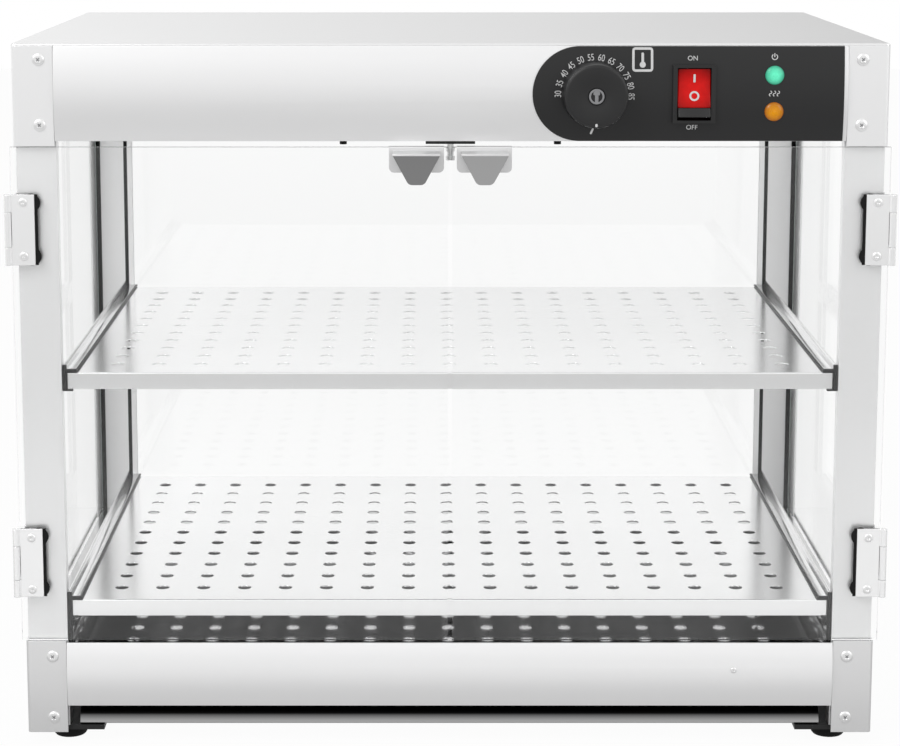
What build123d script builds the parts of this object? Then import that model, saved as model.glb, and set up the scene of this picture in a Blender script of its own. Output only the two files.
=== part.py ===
from build123d import *
import math
import os

os.makedirs("parts", exist_ok=True)

# Two-tier countertop heated display cabinet, millimetres, +Z up, front towards -Y.
# The origin is the centre of the whole object's footprint, at the underside of the feet.

# Cabinet body, without feet, hinges and pulls
body_width = 610.0
body_depth = 385.0
body_height = 498.0
sheet = 1.2
roof_sheet = 1.5
glass_thickness = 4.0
seam = 0.3
seat = 0.2

# End caps and the convex beams between them
cap_width = 29.0
upper_cap_height = 71.7
lower_cap_height = 68.5
corner_radius = 2.5
upper_beam_height = 68.0
lower_beam_underside = 20.0
lower_beam_height = 47.0
beam_bulge = 3.0

# Corner posts, folded from sheet
post_sheet = 1.5
post_width = 28.2
post_depth = 28.0
post_lip = 10.0
door_to_post = 1.5

# Shelves, their runners and the hole grid
shelf_side_clearance = 2.0
shelf_rear_clearance = 3.8
shelf_sheet = 1.0
shelf_lip = 12.0
shelf_front = 9.0
lower_shelf_top = 97.0
upper_shelf_top = 264.0
hole_diameter = 9.8
hole_pitch = 30.0
hole_margin = 25.0
runner_sheet = 1.3
runner_flange = 9.0
runner_foot = 6.0
runner_rise = 5.5
runner_setback = 7.6

# Glass doors
door_side_overhang = 2.5
door_centre_gap = 3.0
door_end_gap = 0.6

# Door hinges
hinge_height = 50.0
hinge_inset = 58.0
leaf_width = 16.0
leaf_thickness = 1.5
leaf_to_glass_edge = 0.7
gasket_thickness = 1.0
gasket_border = 2.0
gasket_ear_radius = 6.5
gasket_ear_reach = 2.0
knuckle_radius = 2.6
knuckle_share = 0.5
knuckle_gap = 0.3
hinge_pin_radius = 1.25
running_clearance = 0.05
axis_outboard = 2.2
axis_forward = 2.0
bracket_depth = 24.0
bracket_step = 9.0
hinge_screw_pitch = 38.0
hinge_screw_radius = 1.6
hinge_screw_head_radius = 3.0
hinge_screw_head = 1.0
hinge_nut_radius = 3.5
hinge_nut = 1.0
glass_hole_radius = 2.5

# Door pulls, bent from sheet over the top edge of the glass
pull_sheet = 1.2
pull_plate_width = 38.4
pull_plate_height = 19.0
pull_from_centre = 4.5
pull_reach = 26.0
pull_tab_width = 33.0
pull_tab_tip = 10.8
pull_tab_height = 22.0
pull_ledge_drop = 3.4
pull_back_height = 14.0
pull_slack = 0.05

# Catch, stop stud and bumpers under the upper beam
catch_width = 34.6
catch_depth = 12.0
catch_height = 2.7
stud_radius = 3.25
stud_waist_radius = 2.4
stud_collar = 2.6
stud_height = 11.5
bumper_radius = 2.5
bumper_height = 3.0
bumper_offset = 75.0

# Control panel and what stands on it
panel_thickness = 1.2
panel_width = 216.0
panel_height = 66.0
panel_to_cap = 3.2
knob_from_panel_end = 43.0
knob_radius = 23.0
knob_depth = 20.0
knob_taper = 1.0
knob_gap = 0.8
knob_edge = 1.2
knob_cap_radius = 5.6
knob_cap_ring = 1.1
knob_cap_recess = 0.8
knob_socket_depth = 12.0
spindle_radius = 3.0
spindle_length_behind = 14.0
spindle_hole_radius = 4.0
thermostat_width = 44.0
thermostat_height = 48.0
thermostat_depth = 28.0
thermostat_bush_radius = 6.0
thermostat_bush = 3.0
rocker_from_panel_end = 111.8
bezel_width = 29.6
bezel_height = 40.4
bezel_thickness = 2.5
switch_body_width = 26.4
switch_body_height = 38.4
switch_body_depth = 24.0
switch_floor = 3.0
cavity_width = 23.4
cavity_height = 36.4
rocker_width = 22.6
rocker_height = 34.0
rocker_tilt = 8.0
rocker_lift = 6.5
rocker_dish = 2.5
rocker_back = 3.0
rocker_back_height = 22.0
rocker_pivot_setback = 2.2
rocker_pin_radius = 1.5
rocker_pin_reach = 1.0
lamp_from_panel_end = 167.5
lamp_spacing = 25.3
lamp_rise = 0.4
lamp_radius = 6.6
lamp_dome = 2.6
lamp_body_radius = 5.0
lamp_body_depth = 20.0
cut_slack = 0.2

# Parts inside the upper and lower housings
sensor_radius = 3.0
sensor_length = 70.0
sensor_setback = 120.0
capillary_radius = 1.0
element_radius = 4.0
element_inset = 70.0
element_row_spacing = 150.0
element_bend = 45.0
element_drop = 13.0
clip_width = 12.0
clip_wall = 2.5
clip_inset = 85.0
terminal_length = 60.0
terminal_depth = 22.0
terminal_height = 18.0
gland_inset = 76.0
gland_radius = 11.0
gland_flange = 3.0
gland_body_radius = 8.0
gland_bore_radius = 4.1
gland_reach = 12.0
gland_inside = 10.0

# Base
foot_height = 10.0
foot_radius = 12.5
foot_tip_radius = 10.5
foot_edge = 2.5
foot_setback = 26.0
foot_inset = 27.0
foot_plate = 3.5
foot_plate_width = 53.0
foot_plate_depth = 54.0
tray_inset = 37.0
tray_setback = 5.0
tray_height = 15.5
tray_radius = 9.0

# Screws through the end caps into the posts
cap_screw_inset = 19.0
cap_screw_radius = 2.0
cap_screw_head_radius = 4.3
cap_screw_head = 1.4
cap_screw_recess_radius = 2.0
cap_screw_recess = 0.9
cap_screw_depth = 9.0
cap_screw_slack = 0.2
cap_screw_end_insets = (11.3, 56.9)
beam_screw_inset = 71.7
beam_screw_drop = 19.3
beam_screw_radius = 2.2

# Places that follow from the sizes above
front_y = (pull_reach - gland_reach - body_depth) / 2
rear_y = front_y + body_depth
middle_y = (front_y + rear_y) / 2
half_width = body_width / 2
base_z = foot_height
roof_z = base_z + body_height
cover_top_z = roof_z - roof_sheet
upper_cap_z = roof_z - upper_cap_height
upper_beam_z = roof_z - upper_beam_height
lower_cap_z = base_z + lower_cap_height
lower_beam_z = base_z + lower_beam_underside
lower_beam_top_z = lower_beam_z + lower_beam_height
pan_top_z = lower_beam_top_z - seat
ceiling_z = upper_beam_z
cap_inner_x = half_width - cap_width
post_outer_x = half_width - sheet - seat
post_inner_x = post_outer_x - post_width
post_setback = glass_thickness + door_to_post
shelf_levels = {"lower": base_z + lower_shelf_top, "upper": base_z + upper_shelf_top}
door_outer_x = half_width + door_side_overhang
door_bottom_z = lower_cap_z + door_end_gap
door_top_z = upper_cap_z - door_end_gap
hinge_axis_x = door_outer_x + axis_outboard
hinge_axis_y = front_y - axis_forward
hinge_levels = (door_top_z - hinge_inset, door_bottom_z + hinge_inset)
beam_centre_z = (upper_beam_z + cover_top_z) / 2
panel_right_x = cap_inner_x - panel_to_cap
panel_left_x = panel_right_x - panel_width
panel_face_y = front_y - beam_bulge - panel_thickness
knob_x = panel_left_x + knob_from_panel_end
rocker_x = panel_left_x + rocker_from_panel_end
lamp_x = panel_left_x + lamp_from_panel_end
lamp_levels = {"green": beam_centre_z + lamp_rise + lamp_spacing / 2,
               "amber": beam_centre_z + lamp_rise - lamp_spacing / 2}
lamp_hole_radius = lamp_body_radius + cut_slack
sides = {"left": -1, "right": 1}
ends = {"front": -1, "rear": 1}


def finish(piece, name):
    """Label a finished piece and write it under its own name."""
    piece.part.label = name
    export_step(piece.part, f"parts/{name}.step")


def block(xs, ys, zs, mode=Mode.ADD):
    """A box between two values on each axis, given in either order."""
    centre = tuple((a + b) / 2 for a, b in (xs, ys, zs))
    with Locations(centre):
        Box(*(abs(b - a) for a, b in (xs, ys, zs)), mode=mode)


def facing_front(y):
    """A sketch plane at depth y whose extrusions run towards the front."""
    return Plane.XZ.offset(-y)


def from_end(end, distance):
    """The y of a plane that lies this far inside the front or rear plane."""
    return front_y + distance if end == "front" else rear_y - distance


def disc(y, x, z, radius, length, mode=Mode.ADD):
    """A round bar from depth y towards the front, or to the rear if length is negative."""
    with BuildSketch(facing_front(y)) as section:
        with Locations((x, z)):
            Circle(radius)
    extrude(section.sketch, amount=length, mode=mode)


def upright(x, y, z, radius, height, mode=Mode.ADD):
    """A round bar standing on the level z."""
    with BuildSketch(Plane.XY.offset(z)) as section:
        with Locations((x, y)):
            Circle(radius)
    extrude(section.sketch, amount=height, mode=mode)


def beam_strip(end, x, levels, inset, thickness, length):
    """A bar along +X from x, whose section is a strip bowed outwards, inset from the end."""
    bottom, top = levels
    outward = ends[end]
    outer = from_end(end, inset)
    inner = from_end(end, inset + thickness)
    bow = outward * beam_bulge
    middle = (bottom + top) / 2
    with BuildSketch(Plane.YZ.offset(x)) as section:
        with BuildLine():
            ThreePointArc((outer, bottom), (outer + bow, middle), (outer, top))
            Line((outer, top), (inner, top))
            ThreePointArc((inner, top), (inner + bow, middle), (inner, bottom))
            Line((inner, bottom), (outer, bottom))
        make_face()
    extrude(section.sketch, amount=length)


def bow_at(z, bottom, top):
    """How far a beam's face stands out at level z."""
    half = (top - bottom) / 2
    radius = (half ** 2 + beam_bulge ** 2) / (2 * beam_bulge)
    return math.sqrt(radius ** 2 - (z - (bottom + top) / 2) ** 2) - radius + beam_bulge


# Roof: one flat sheet over both housings' covers
with BuildPart() as roof:
    with BuildSketch(Plane.XY.offset(cover_top_z)):
        with Locations((0, middle_y)):
            RectangleRounded(body_width, body_depth, corner_radius)
    extrude(amount=roof_sheet)
    fillet(roof.faces().sort_by(Axis.Z)[-1].edges(), radius=roof_sheet * 0.9)
finish(roof, "roof_sheet")

# End caps: covers that wrap the front, side and rear of each housing
cap_levels = {"upper": (upper_cap_z, cover_top_z), "lower": (base_z, lower_cap_z)}
cap_screw_levels = {"upper": [roof_z - inset for inset in cap_screw_end_insets],
                    "lower": [base_z + inset for inset in cap_screw_end_insets]}
cap_screw_x = half_width - cap_screw_inset
for tier, (bottom, top) in cap_levels.items():
    for side, sign in sides.items():
        with BuildPart() as cap:
            block((sign * cap_inner_x, sign * half_width), (front_y, rear_y), (bottom, top))
            corners = cap.edges().filter_by(Axis.Z).group_by(Axis.X)[0 if sign < 0 else -1]
            fillet(corners, radius=corner_radius)
            block((sign * (cap_inner_x - sheet), sign * (half_width - sheet)),
                  (front_y + sheet, rear_y - sheet), (bottom - sheet, top + sheet), Mode.SUBTRACT)
            for z in cap_screw_levels[tier]:
                disc(front_y - sheet, sign * cap_screw_x, z, cap_screw_radius + cap_screw_slack,
                     -(body_depth + 2 * sheet), Mode.SUBTRACT)
        finish(cap, f"{tier}_end_cap_{side}")

# Convex fascias between the caps
knob_hole = (knob_x, beam_centre_z, spindle_hole_radius)
lamp_holes = [(lamp_x, z, lamp_hole_radius) for z in lamp_levels.values()]
panel_holes = [knob_hole] + lamp_holes
beam_levels = {"upper": (upper_beam_z, cover_top_z), "lower": (lower_beam_z, lower_beam_top_z)}
beam_screw_x = cap_inner_x - beam_screw_inset
beam_screw_z = lower_beam_top_z - beam_screw_drop
gland_x = cap_inner_x - gland_inset
beam_length = 2 * (cap_inner_x - seam)


def cut_panel_holes(y, length):
    """Cut the spindle, lamp and switch openings through whatever stands before depth y."""
    for x, z, radius in panel_holes:
        disc(y, x, z, radius, length, Mode.SUBTRACT)
    with BuildSketch(facing_front(y)) as opening:
        with Locations((rocker_x, beam_centre_z)):
            Rectangle(switch_body_width + 2 * cut_slack, switch_body_height + 2 * cut_slack)
    extrude(opening.sketch, amount=length, mode=Mode.SUBTRACT)


through_panel = beam_bulge + panel_thickness + 2 * sheet + seam
for tier, levels in beam_levels.items():
    for end in ends:
        with BuildPart() as fascia:
            beam_strip(end, -beam_length / 2, levels, 0, sheet, beam_length)
            if (tier, end) == ("upper", "front"):
                cut_panel_holes(front_y + sheet + seam, through_panel)
            if (tier, end) == ("upper", "rear"):
                disc(rear_y + 2 * beam_bulge, gland_x, beam_centre_z,
                     gland_body_radius + cut_slack, 4 * beam_bulge, Mode.SUBTRACT)
            if (tier, end) == ("lower", "front"):
                disc(front_y + 2 * sheet, beam_screw_x, beam_screw_z,
                     beam_screw_radius / 2 + cut_slack, 2 * beam_bulge + sheet, Mode.SUBTRACT)
        finish(fascia, f"{tier}_{end}_fascia")

# Corner posts: an angle at the rear, an angle with an inner return lip at the front
post_bottom_z = base_z + foot_plate
for end, outward in ends.items():
    for side, sign in sides.items():
        face_y = from_end(end, post_setback)
        inner_y = from_end(end, post_setback + post_sheet)
        with BuildPart() as post:
            block((sign * post_inner_x, sign * post_outer_x), (face_y, inner_y),
                  (post_bottom_z, cover_top_z))
            block((sign * (post_outer_x - post_sheet), sign * post_outer_x),
                  (face_y, from_end(end, post_setback + post_depth)), (post_bottom_z, cover_top_z))
            if end == "front":
                block((sign * post_inner_x, sign * (post_inner_x + post_sheet)),
                      (face_y, from_end(end, post_setback + post_lip)),
                      (post_bottom_z, cover_top_z))
            for z in cap_screw_levels["upper"] + cap_screw_levels["lower"]:
                disc(from_end(end, 0), sign * cap_screw_x, z, cap_screw_radius + cap_screw_slack,
                     outward * (post_setback + 2 * post_sheet), Mode.SUBTRACT)
        finish(post, f"{end}_post_{side}")

# Cap screws: a round head with a driver recess, through the cap into the post
with BuildPart() as cap_screws:
    for end, outward in ends.items():
        face_y = from_end(end, 0)
        for sign in sides.values():
            for z in cap_screw_levels["upper"] + cap_screw_levels["lower"]:
                x = sign * cap_screw_x
                disc(face_y, x, z, cap_screw_head_radius, -outward * cap_screw_head)
                disc(face_y, x, z, cap_screw_radius, outward * cap_screw_depth)
                disc(face_y + outward * cap_screw_head, x, z, cap_screw_recess_radius,
                     outward * cap_screw_recess, Mode.SUBTRACT)
finish(cap_screws, "cap_screws")

# Small screw in the lower front beam
beam_screw_y = front_y - bow_at(beam_screw_z, *beam_levels["lower"]) - seat
with BuildPart() as beam_screw:
    disc(beam_screw_y + 2 * sheet, beam_screw_x, beam_screw_z, beam_screw_radius / 2,
         2 * sheet)
    disc(beam_screw_y, beam_screw_x, beam_screw_z, beam_screw_radius, sheet)
finish(beam_screw, "beam_screw")


def deck(z):
    """A flat sheet between the beams, notched around the four posts."""
    reach = post_setback + post_sheet + seat
    level = (z, z + sheet)
    block((-post_outer_x, post_outer_x), (front_y + sheet + seat, rear_y - sheet - seat), level)
    for end in ends:
        for sign in sides.values():
            edge_y = from_end(end, 0)
            block((sign * (post_inner_x - seat), sign * half_width),
                  (edge_y, from_end(end, reach)), level, Mode.SUBTRACT)
            block((sign * (post_outer_x - post_sheet - seat), sign * half_width),
                  (edge_y, from_end(end, post_setback + post_depth + seat)), level, Mode.SUBTRACT)
            if end == "front":
                block((sign * (post_inner_x - seat), sign * (post_inner_x + post_sheet + seat)),
                      (edge_y, from_end(end, post_setback + post_lip + seat)), level,
                      Mode.SUBTRACT)


# Polished base pan, level with the lower beam, and the ceiling under the upper housing
with BuildPart() as base_pan:
    deck(pan_top_z - sheet)
finish(base_pan, "base_pan")

sensor_y = front_y + sensor_setback
with BuildPart() as ceiling:
    deck(ceiling_z)
    with Locations((knob_x, sensor_y, ceiling_z + sheet / 2)):
        Cylinder(capillary_radius + seam, 2 * sheet, mode=Mode.SUBTRACT)
finish(ceiling, "ceiling_plate")

# Fixed glass: two sides behind the posts' side flanges, and the rear pane in channels
chamber = (pan_top_z, ceiling_z)
side_glass_x = post_outer_x - post_sheet - seat / 2
for side, sign in sides.items():
    with BuildPart() as side_glass:
        block((sign * (side_glass_x - glass_thickness), sign * side_glass_x),
              (front_y + post_setback + 2 * post_sheet, rear_y - post_setback - 2 * post_sheet),
              (pan_top_z + seat / 2, ceiling_z - seat / 2))
    finish(side_glass, f"side_glass_{side}")

channel_slack = 0.05
channel_grip = 6.0
channel_depth = glass_thickness + 2 * (sheet + channel_slack)
channel_rear_y = rear_y - post_setback
channel_front_y = channel_rear_y - channel_depth
channel_outer_x = post_inner_x - seat
rear_glass_x = channel_outer_x - sheet - seat
rear_glass_ys = (channel_front_y + sheet + channel_slack, channel_rear_y - sheet - channel_slack)
with BuildPart() as rear_channels:
    for sign in sides.values():
        block((sign * (channel_outer_x - sheet - channel_grip), sign * channel_outer_x),
              (channel_front_y, channel_rear_y), chamber)
        block((sign * (channel_outer_x - 2 * channel_grip), sign * (channel_outer_x - sheet)),
              (channel_front_y + sheet, channel_rear_y - sheet), chamber, Mode.SUBTRACT)
finish(rear_channels, "rear_glass_channels")

with BuildPart() as rear_glass:
    block((-rear_glass_x, rear_glass_x), rear_glass_ys,
          (pan_top_z + seat / 2, ceiling_z - seat / 2))
finish(rear_glass, "rear_glass")

# Perforated shelves with a folded lip all round
runner_outer_x = channel_outer_x
shelf_width = 2 * (runner_outer_x - runner_sheet - shelf_side_clearance)
shelf_front_y = front_y + shelf_front
shelf_depth = channel_front_y - shelf_rear_clearance - shelf_front_y
shelf_centre_y = shelf_front_y + shelf_depth / 2
hole_columns = int((shelf_width - 2 * hole_margin) / hole_pitch) + 1
hole_rows = int((shelf_depth - 2 * hole_margin) / hole_pitch) + 1
for tier, top in shelf_levels.items():
    with BuildPart() as shelf:
        with BuildSketch(Plane.XY.offset(top - shelf_lip)):
            with Locations((0, shelf_centre_y)):
                Rectangle(shelf_width, shelf_depth)
        extrude(amount=shelf_lip)
        fillet(shelf.faces().sort_by(Axis.Z)[-1].edges(), radius=shelf_sheet)
        with BuildSketch(Plane.XY.offset(top - shelf_lip)):
            with Locations((0, shelf_centre_y)):
                Rectangle(shelf_width - 2 * shelf_sheet, shelf_depth - 2 * shelf_sheet)
        extrude(amount=shelf_lip - shelf_sheet, mode=Mode.SUBTRACT)
        with BuildSketch(Plane.XY.offset(top - shelf_sheet)):
            with Locations((0, shelf_centre_y)):
                with GridLocations(hole_pitch, hole_pitch, hole_columns, hole_rows):
                    Circle(hole_diameter / 2)
        extrude(amount=shelf_sheet, mode=Mode.SUBTRACT)
    finish(shelf, f"{tier}_shelf")

# Shelf runners: C sections that carry the shelf's edge; the lower ones stand on the pan
runner_ys = (front_y + runner_setback, channel_front_y - seat)
for tier, top in shelf_levels.items():
    foot_top = top - shelf_lip
    web_bottom = pan_top_z if tier == "lower" else foot_top - runner_sheet
    for side, sign in sides.items():
        inner = runner_outer_x - runner_sheet
        with BuildPart() as runner:
            block((sign * inner, sign * runner_outer_x), runner_ys, (web_bottom, top + runner_rise))
            block((sign * (inner - runner_foot), sign * runner_outer_x), runner_ys,
                  (foot_top - runner_sheet, foot_top))
            block((sign * (inner - runner_flange), sign * runner_outer_x), runner_ys,
                  (top + seat, top + seat + runner_sheet))
        finish(runner, f"{tier}_runner_{side}")

# Bottom tray with rolled front and rear lips
tray_half_width = half_width - tray_inset
tray_bottom_z = base_z + foot_plate
tray_top_z = tray_bottom_z + tray_height
with BuildPart() as tray:
    with BuildSketch(Plane.YZ.offset(-tray_half_width)):
        with BuildLine():
            FilletPolyline((front_y + tray_setback, tray_top_z),
                           (front_y + tray_setback, tray_bottom_z),
                           (rear_y - tray_setback, tray_bottom_z),
                           (rear_y - tray_setback, tray_top_z), radius=tray_radius)
            Line((rear_y - tray_setback, tray_top_z),
                 (rear_y - tray_setback - sheet, tray_top_z))
            FilletPolyline((rear_y - tray_setback - sheet, tray_top_z),
                           (rear_y - tray_setback - sheet, tray_bottom_z + sheet),
                           (front_y + tray_setback + sheet, tray_bottom_z + sheet),
                           (front_y + tray_setback + sheet, tray_top_z),
                           radius=tray_radius - sheet)
            Line((front_y + tray_setback + sheet, tray_top_z),
                 (front_y + tray_setback, tray_top_z))
        make_face()
    extrude(amount=2 * tray_half_width)
finish(tray, "bottom_tray")

# Foot plates under the posts, and rubber feet under the plates
plate_outer_x = post_outer_x
plate_inner_x = plate_outer_x - foot_plate_width
foot_x = half_width - foot_inset
with BuildPart() as foot_plates:
    for end in ends:
        for sign in sides.values():
            block((sign * plate_inner_x, sign * plate_outer_x),
                  (from_end(end, post_setback), from_end(end, post_setback + foot_plate_depth)),
                  (base_z, base_z + foot_plate))
finish(foot_plates, "foot_plates")

with BuildPart() as feet:
    for end in ends:
        for sign in sides.values():
            with BuildSketch(Plane.XY):
                with Locations((sign * foot_x, from_end(end, foot_setback))):
                    Circle(foot_tip_radius)
            with BuildSketch(Plane.XY.offset(foot_height)):
                with Locations((sign * foot_x, from_end(end, foot_setback))):
                    Circle(foot_radius)
            loft()
    fillet(feet.faces().filter_by(Axis.Z).group_by(Axis.Z)[0].edges(), radius=foot_edge)
finish(feet, "feet")

# Black control panel that follows the beam's curve, round at its left end
panel_bottom_z = beam_centre_z - panel_height / 2
panel_top_z = beam_centre_z + panel_height / 2
with BuildPart() as panel:
    beam_strip("front", panel_left_x, beam_levels["upper"], -panel_thickness, panel_thickness,
               panel_width)
    with BuildSketch(facing_front(front_y + sheet)):
        with Locations((panel_left_x + panel_height / 2, beam_centre_z)):
            Circle(panel_height / 2)
        with Locations((panel_left_x + (panel_width + panel_height / 2) / 2, beam_centre_z)):
            Rectangle(panel_width - panel_height / 2, panel_height)
    extrude(amount=through_panel, mode=Mode.INTERSECT)
    cut_panel_holes(front_y + sheet, through_panel)
finish(panel, "control_panel")

# Thermostat behind the fascia, with a bush that meets the fascia's crest
thermostat_face_y = front_y - beam_bulge + sheet + thermostat_bush
with BuildPart() as thermostat:
    block((knob_x - thermostat_width / 2, knob_x + thermostat_width / 2),
          (thermostat_face_y, thermostat_face_y + thermostat_depth),
          (beam_centre_z - thermostat_height / 2, beam_centre_z + thermostat_height / 2))
    disc(thermostat_face_y, knob_x, beam_centre_z, thermostat_bush_radius,
         thermostat_bush - seat)
    disc(thermostat_face_y + spindle_length_behind + seam, knob_x, beam_centre_z,
         spindle_radius + running_clearance, spindle_length_behind + thermostat_bush + seam,
         Mode.SUBTRACT)
finish(thermostat, "thermostat")

# Knob and spindle, which turn together
knob_back_y = panel_face_y - knob_gap
knob_front_y = knob_back_y - knob_depth
with BuildPart() as knob:
    with BuildSketch(facing_front(knob_back_y)):
        with Locations((knob_x, beam_centre_z)):
            Circle(knob_radius)
    with BuildSketch(facing_front(knob_front_y)):
        with Locations((knob_x, beam_centre_z)):
            Circle(knob_radius - knob_taper)
    loft()
    fillet(knob.faces().sort_by(Axis.Y)[0].edges(), radius=knob_edge)
    disc(knob_front_y + knob_cap_recess, knob_x, beam_centre_z, knob_cap_radius,
         knob_cap_recess, Mode.SUBTRACT)
    disc(knob_front_y + knob_cap_recess, knob_x, beam_centre_z,
         knob_cap_radius - knob_cap_ring, knob_cap_recess / 2)
    disc(knob_back_y, knob_x, beam_centre_z, spindle_radius, knob_socket_depth, Mode.SUBTRACT)
finish(knob, "thermostat_knob")

with BuildPart() as spindle:
    disc(thermostat_face_y + spindle_length_behind, knob_x, beam_centre_z, spindle_radius,
         thermostat_face_y + spindle_length_behind - knob_back_y + knob_socket_depth)
finish(spindle, "thermostat_spindle")

# Rocker switch: bezel and body in one, with the rocker on two stub pins
bezel_face_y = panel_face_y - bezel_thickness
pivot_y = bezel_face_y + bezel_thickness + rocker_pivot_setback
switch_back_y = panel_face_y + switch_body_depth
with BuildPart() as switch_housing:
    block((rocker_x - bezel_width / 2, rocker_x + bezel_width / 2),
          (bezel_face_y, panel_face_y),
          (beam_centre_z - bezel_height / 2, beam_centre_z + bezel_height / 2))
    block((rocker_x - switch_body_width / 2, rocker_x + switch_body_width / 2),
          (panel_face_y, switch_back_y),
          (beam_centre_z - switch_body_height / 2, beam_centre_z + switch_body_height / 2))
    block((rocker_x - cavity_width / 2, rocker_x + cavity_width / 2),
          (bezel_face_y, switch_back_y - switch_floor),
          (beam_centre_z - cavity_height / 2, beam_centre_z + cavity_height / 2), Mode.SUBTRACT)
    with BuildSketch(Plane.YZ.offset(rocker_x - cavity_width / 2 - rocker_pin_reach)):
        with Locations((pivot_y, beam_centre_z)):
            Circle(rocker_pin_radius + running_clearance)
    extrude(amount=cavity_width + 2 * rocker_pin_reach, mode=Mode.SUBTRACT)
finish(switch_housing, "switch_housing")

tilt = math.radians(rocker_tilt)
rocker_plane = Plane(origin=(rocker_x - rocker_width / 2, pivot_y, beam_centre_z),
                     x_dir=(0, math.cos(tilt), -math.sin(tilt)), z_dir=(1, 0, 0))
pin_length = cavity_width / 2 - rocker_width / 2 + rocker_pin_reach - seat
with BuildPart() as rocker:
    with BuildSketch(rocker_plane):
        with BuildLine():
            Polyline((rocker_back, -rocker_back_height / 2), (-rocker_lift, -rocker_height / 2),
                     (rocker_dish - rocker_lift, 0), (-rocker_lift, rocker_height / 2),
                     (rocker_back, rocker_back_height / 2), close=True)
        make_face()
    extrude(amount=rocker_width)
    with BuildSketch(rocker_plane.offset(-pin_length)):
        Circle(rocker_pin_radius)
    extrude(amount=rocker_width + 2 * pin_length)
finish(rocker, "switch_rocker")

# Indicator lamps: a domed lens with a round body through the panel
for colour, z in lamp_levels.items():
    with BuildPart() as lamp:
        disc(panel_face_y, lamp_x, z, lamp_radius, lamp_dome)
        fillet(lamp.faces().sort_by(Axis.Y)[0].edges(), radius=lamp_dome * 0.8)
        disc(panel_face_y, lamp_x, z, lamp_body_radius, -lamp_body_depth)
    finish(lamp, f"{colour}_lamp")

# Temperature sensor under the ceiling, with its capillary up to the thermostat
sensor_z = ceiling_z - sensor_radius - seat
capillary_top_z = beam_centre_z
with BuildPart() as sensor:
    with BuildSketch(Plane.YZ.offset(knob_x - sensor_length / 2)):
        with Locations((sensor_y, sensor_z)):
            Circle(sensor_radius)
    extrude(amount=sensor_length)
    with BuildLine() as capillary_path:
        FilletPolyline((knob_x, sensor_y, sensor_z), (knob_x, sensor_y, capillary_top_z),
                       (knob_x, thermostat_face_y + thermostat_depth, capillary_top_z),
                       radius=element_bend / 3)
    with BuildSketch(Plane.XY.offset(sensor_z)):
        with Locations((knob_x, sensor_y)):
            Circle(capillary_radius)
    sweep(path=capillary_path.wire())
finish(sensor, "temperature_sensor")

# Tubular heating element under the pan, in four clips
element_half_length = half_width - element_inset
clip_offset = element_half_length - clip_inset
element_z = pan_top_z - sheet - element_drop
row_ys = (middle_y - element_row_spacing / 2, middle_y + element_row_spacing / 2)
with BuildPart() as element:
    with BuildLine() as element_path:
        FilletPolyline((-element_half_length, row_ys[0], element_z),
                       (element_half_length, row_ys[0], element_z),
                       (element_half_length, row_ys[1], element_z),
                       (-element_half_length, row_ys[1], element_z), radius=element_bend)
    with BuildSketch(Plane.YZ.offset(-element_half_length)):
        with Locations((row_ys[0], element_z)):
            Circle(element_radius)
    sweep(path=element_path.wire())
finish(element, "heating_element")

with BuildPart() as clips:
    for y in row_ys:
        for sign in sides.values():
            block((sign * clip_offset - clip_width / 2, sign * clip_offset + clip_width / 2),
                  (y - element_radius - clip_wall, y + element_radius + clip_wall),
                  (element_z - element_radius - clip_wall, pan_top_z - sheet))
            with BuildSketch(Plane.YZ.offset(sign * clip_offset - clip_width / 2)):
                with Locations((y, element_z)):
                    Circle(element_radius + running_clearance)
            extrude(amount=clip_width, mode=Mode.SUBTRACT)
finish(clips, "element_clips")

# Terminal block on the ceiling, and the gland that the supply cord would pass
with BuildPart() as terminals:
    block((gland_x - terminal_length / 2, gland_x + terminal_length / 2),
          (rear_y - 3 * terminal_depth, rear_y - 2 * terminal_depth),
          (ceiling_z + sheet, ceiling_z + sheet + terminal_height))
finish(terminals, "terminal_block")

gland_back_y = rear_y + gland_reach
with BuildPart() as gland:
    disc(gland_back_y, gland_x, beam_centre_z, gland_body_radius,
         gland_reach + gland_inside)
    disc(rear_y + beam_bulge + gland_flange, gland_x, beam_centre_z, gland_radius,
         gland_flange)
    disc(gland_back_y, gland_x, beam_centre_z, gland_bore_radius,
         gland_reach + gland_inside, Mode.SUBTRACT)
finish(gland, "cord_gland")

# Magnetic catch, stop stud and bumpers under the front edge of the ceiling
catch_front_y = front_y + glass_thickness + 2 * pull_sheet
catch_bottom_z = ceiling_z - catch_height
with BuildPart() as catch:
    block((-catch_width / 2, catch_width / 2), (catch_front_y, catch_front_y + catch_depth),
          (catch_bottom_z, ceiling_z))
finish(catch, "magnetic_catch")

stud_y = catch_front_y + stud_radius
with BuildPart() as stud:
    upright(0, stud_y, catch_bottom_z - stud_height, stud_waist_radius, stud_height)
    upright(0, stud_y, catch_bottom_z - stud_height, stud_radius, stud_collar)
    upright(0, stud_y, catch_bottom_z - 2 * stud_collar, stud_radius, stud_collar)
finish(stud, "stop_stud")

with BuildPart() as bumpers:
    for sign in sides.values():
        upright(sign * bumper_offset, catch_front_y + bumper_radius, ceiling_z - bumper_height,
                bumper_radius, bumper_height)
finish(bumpers, "beam_bumpers")

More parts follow.
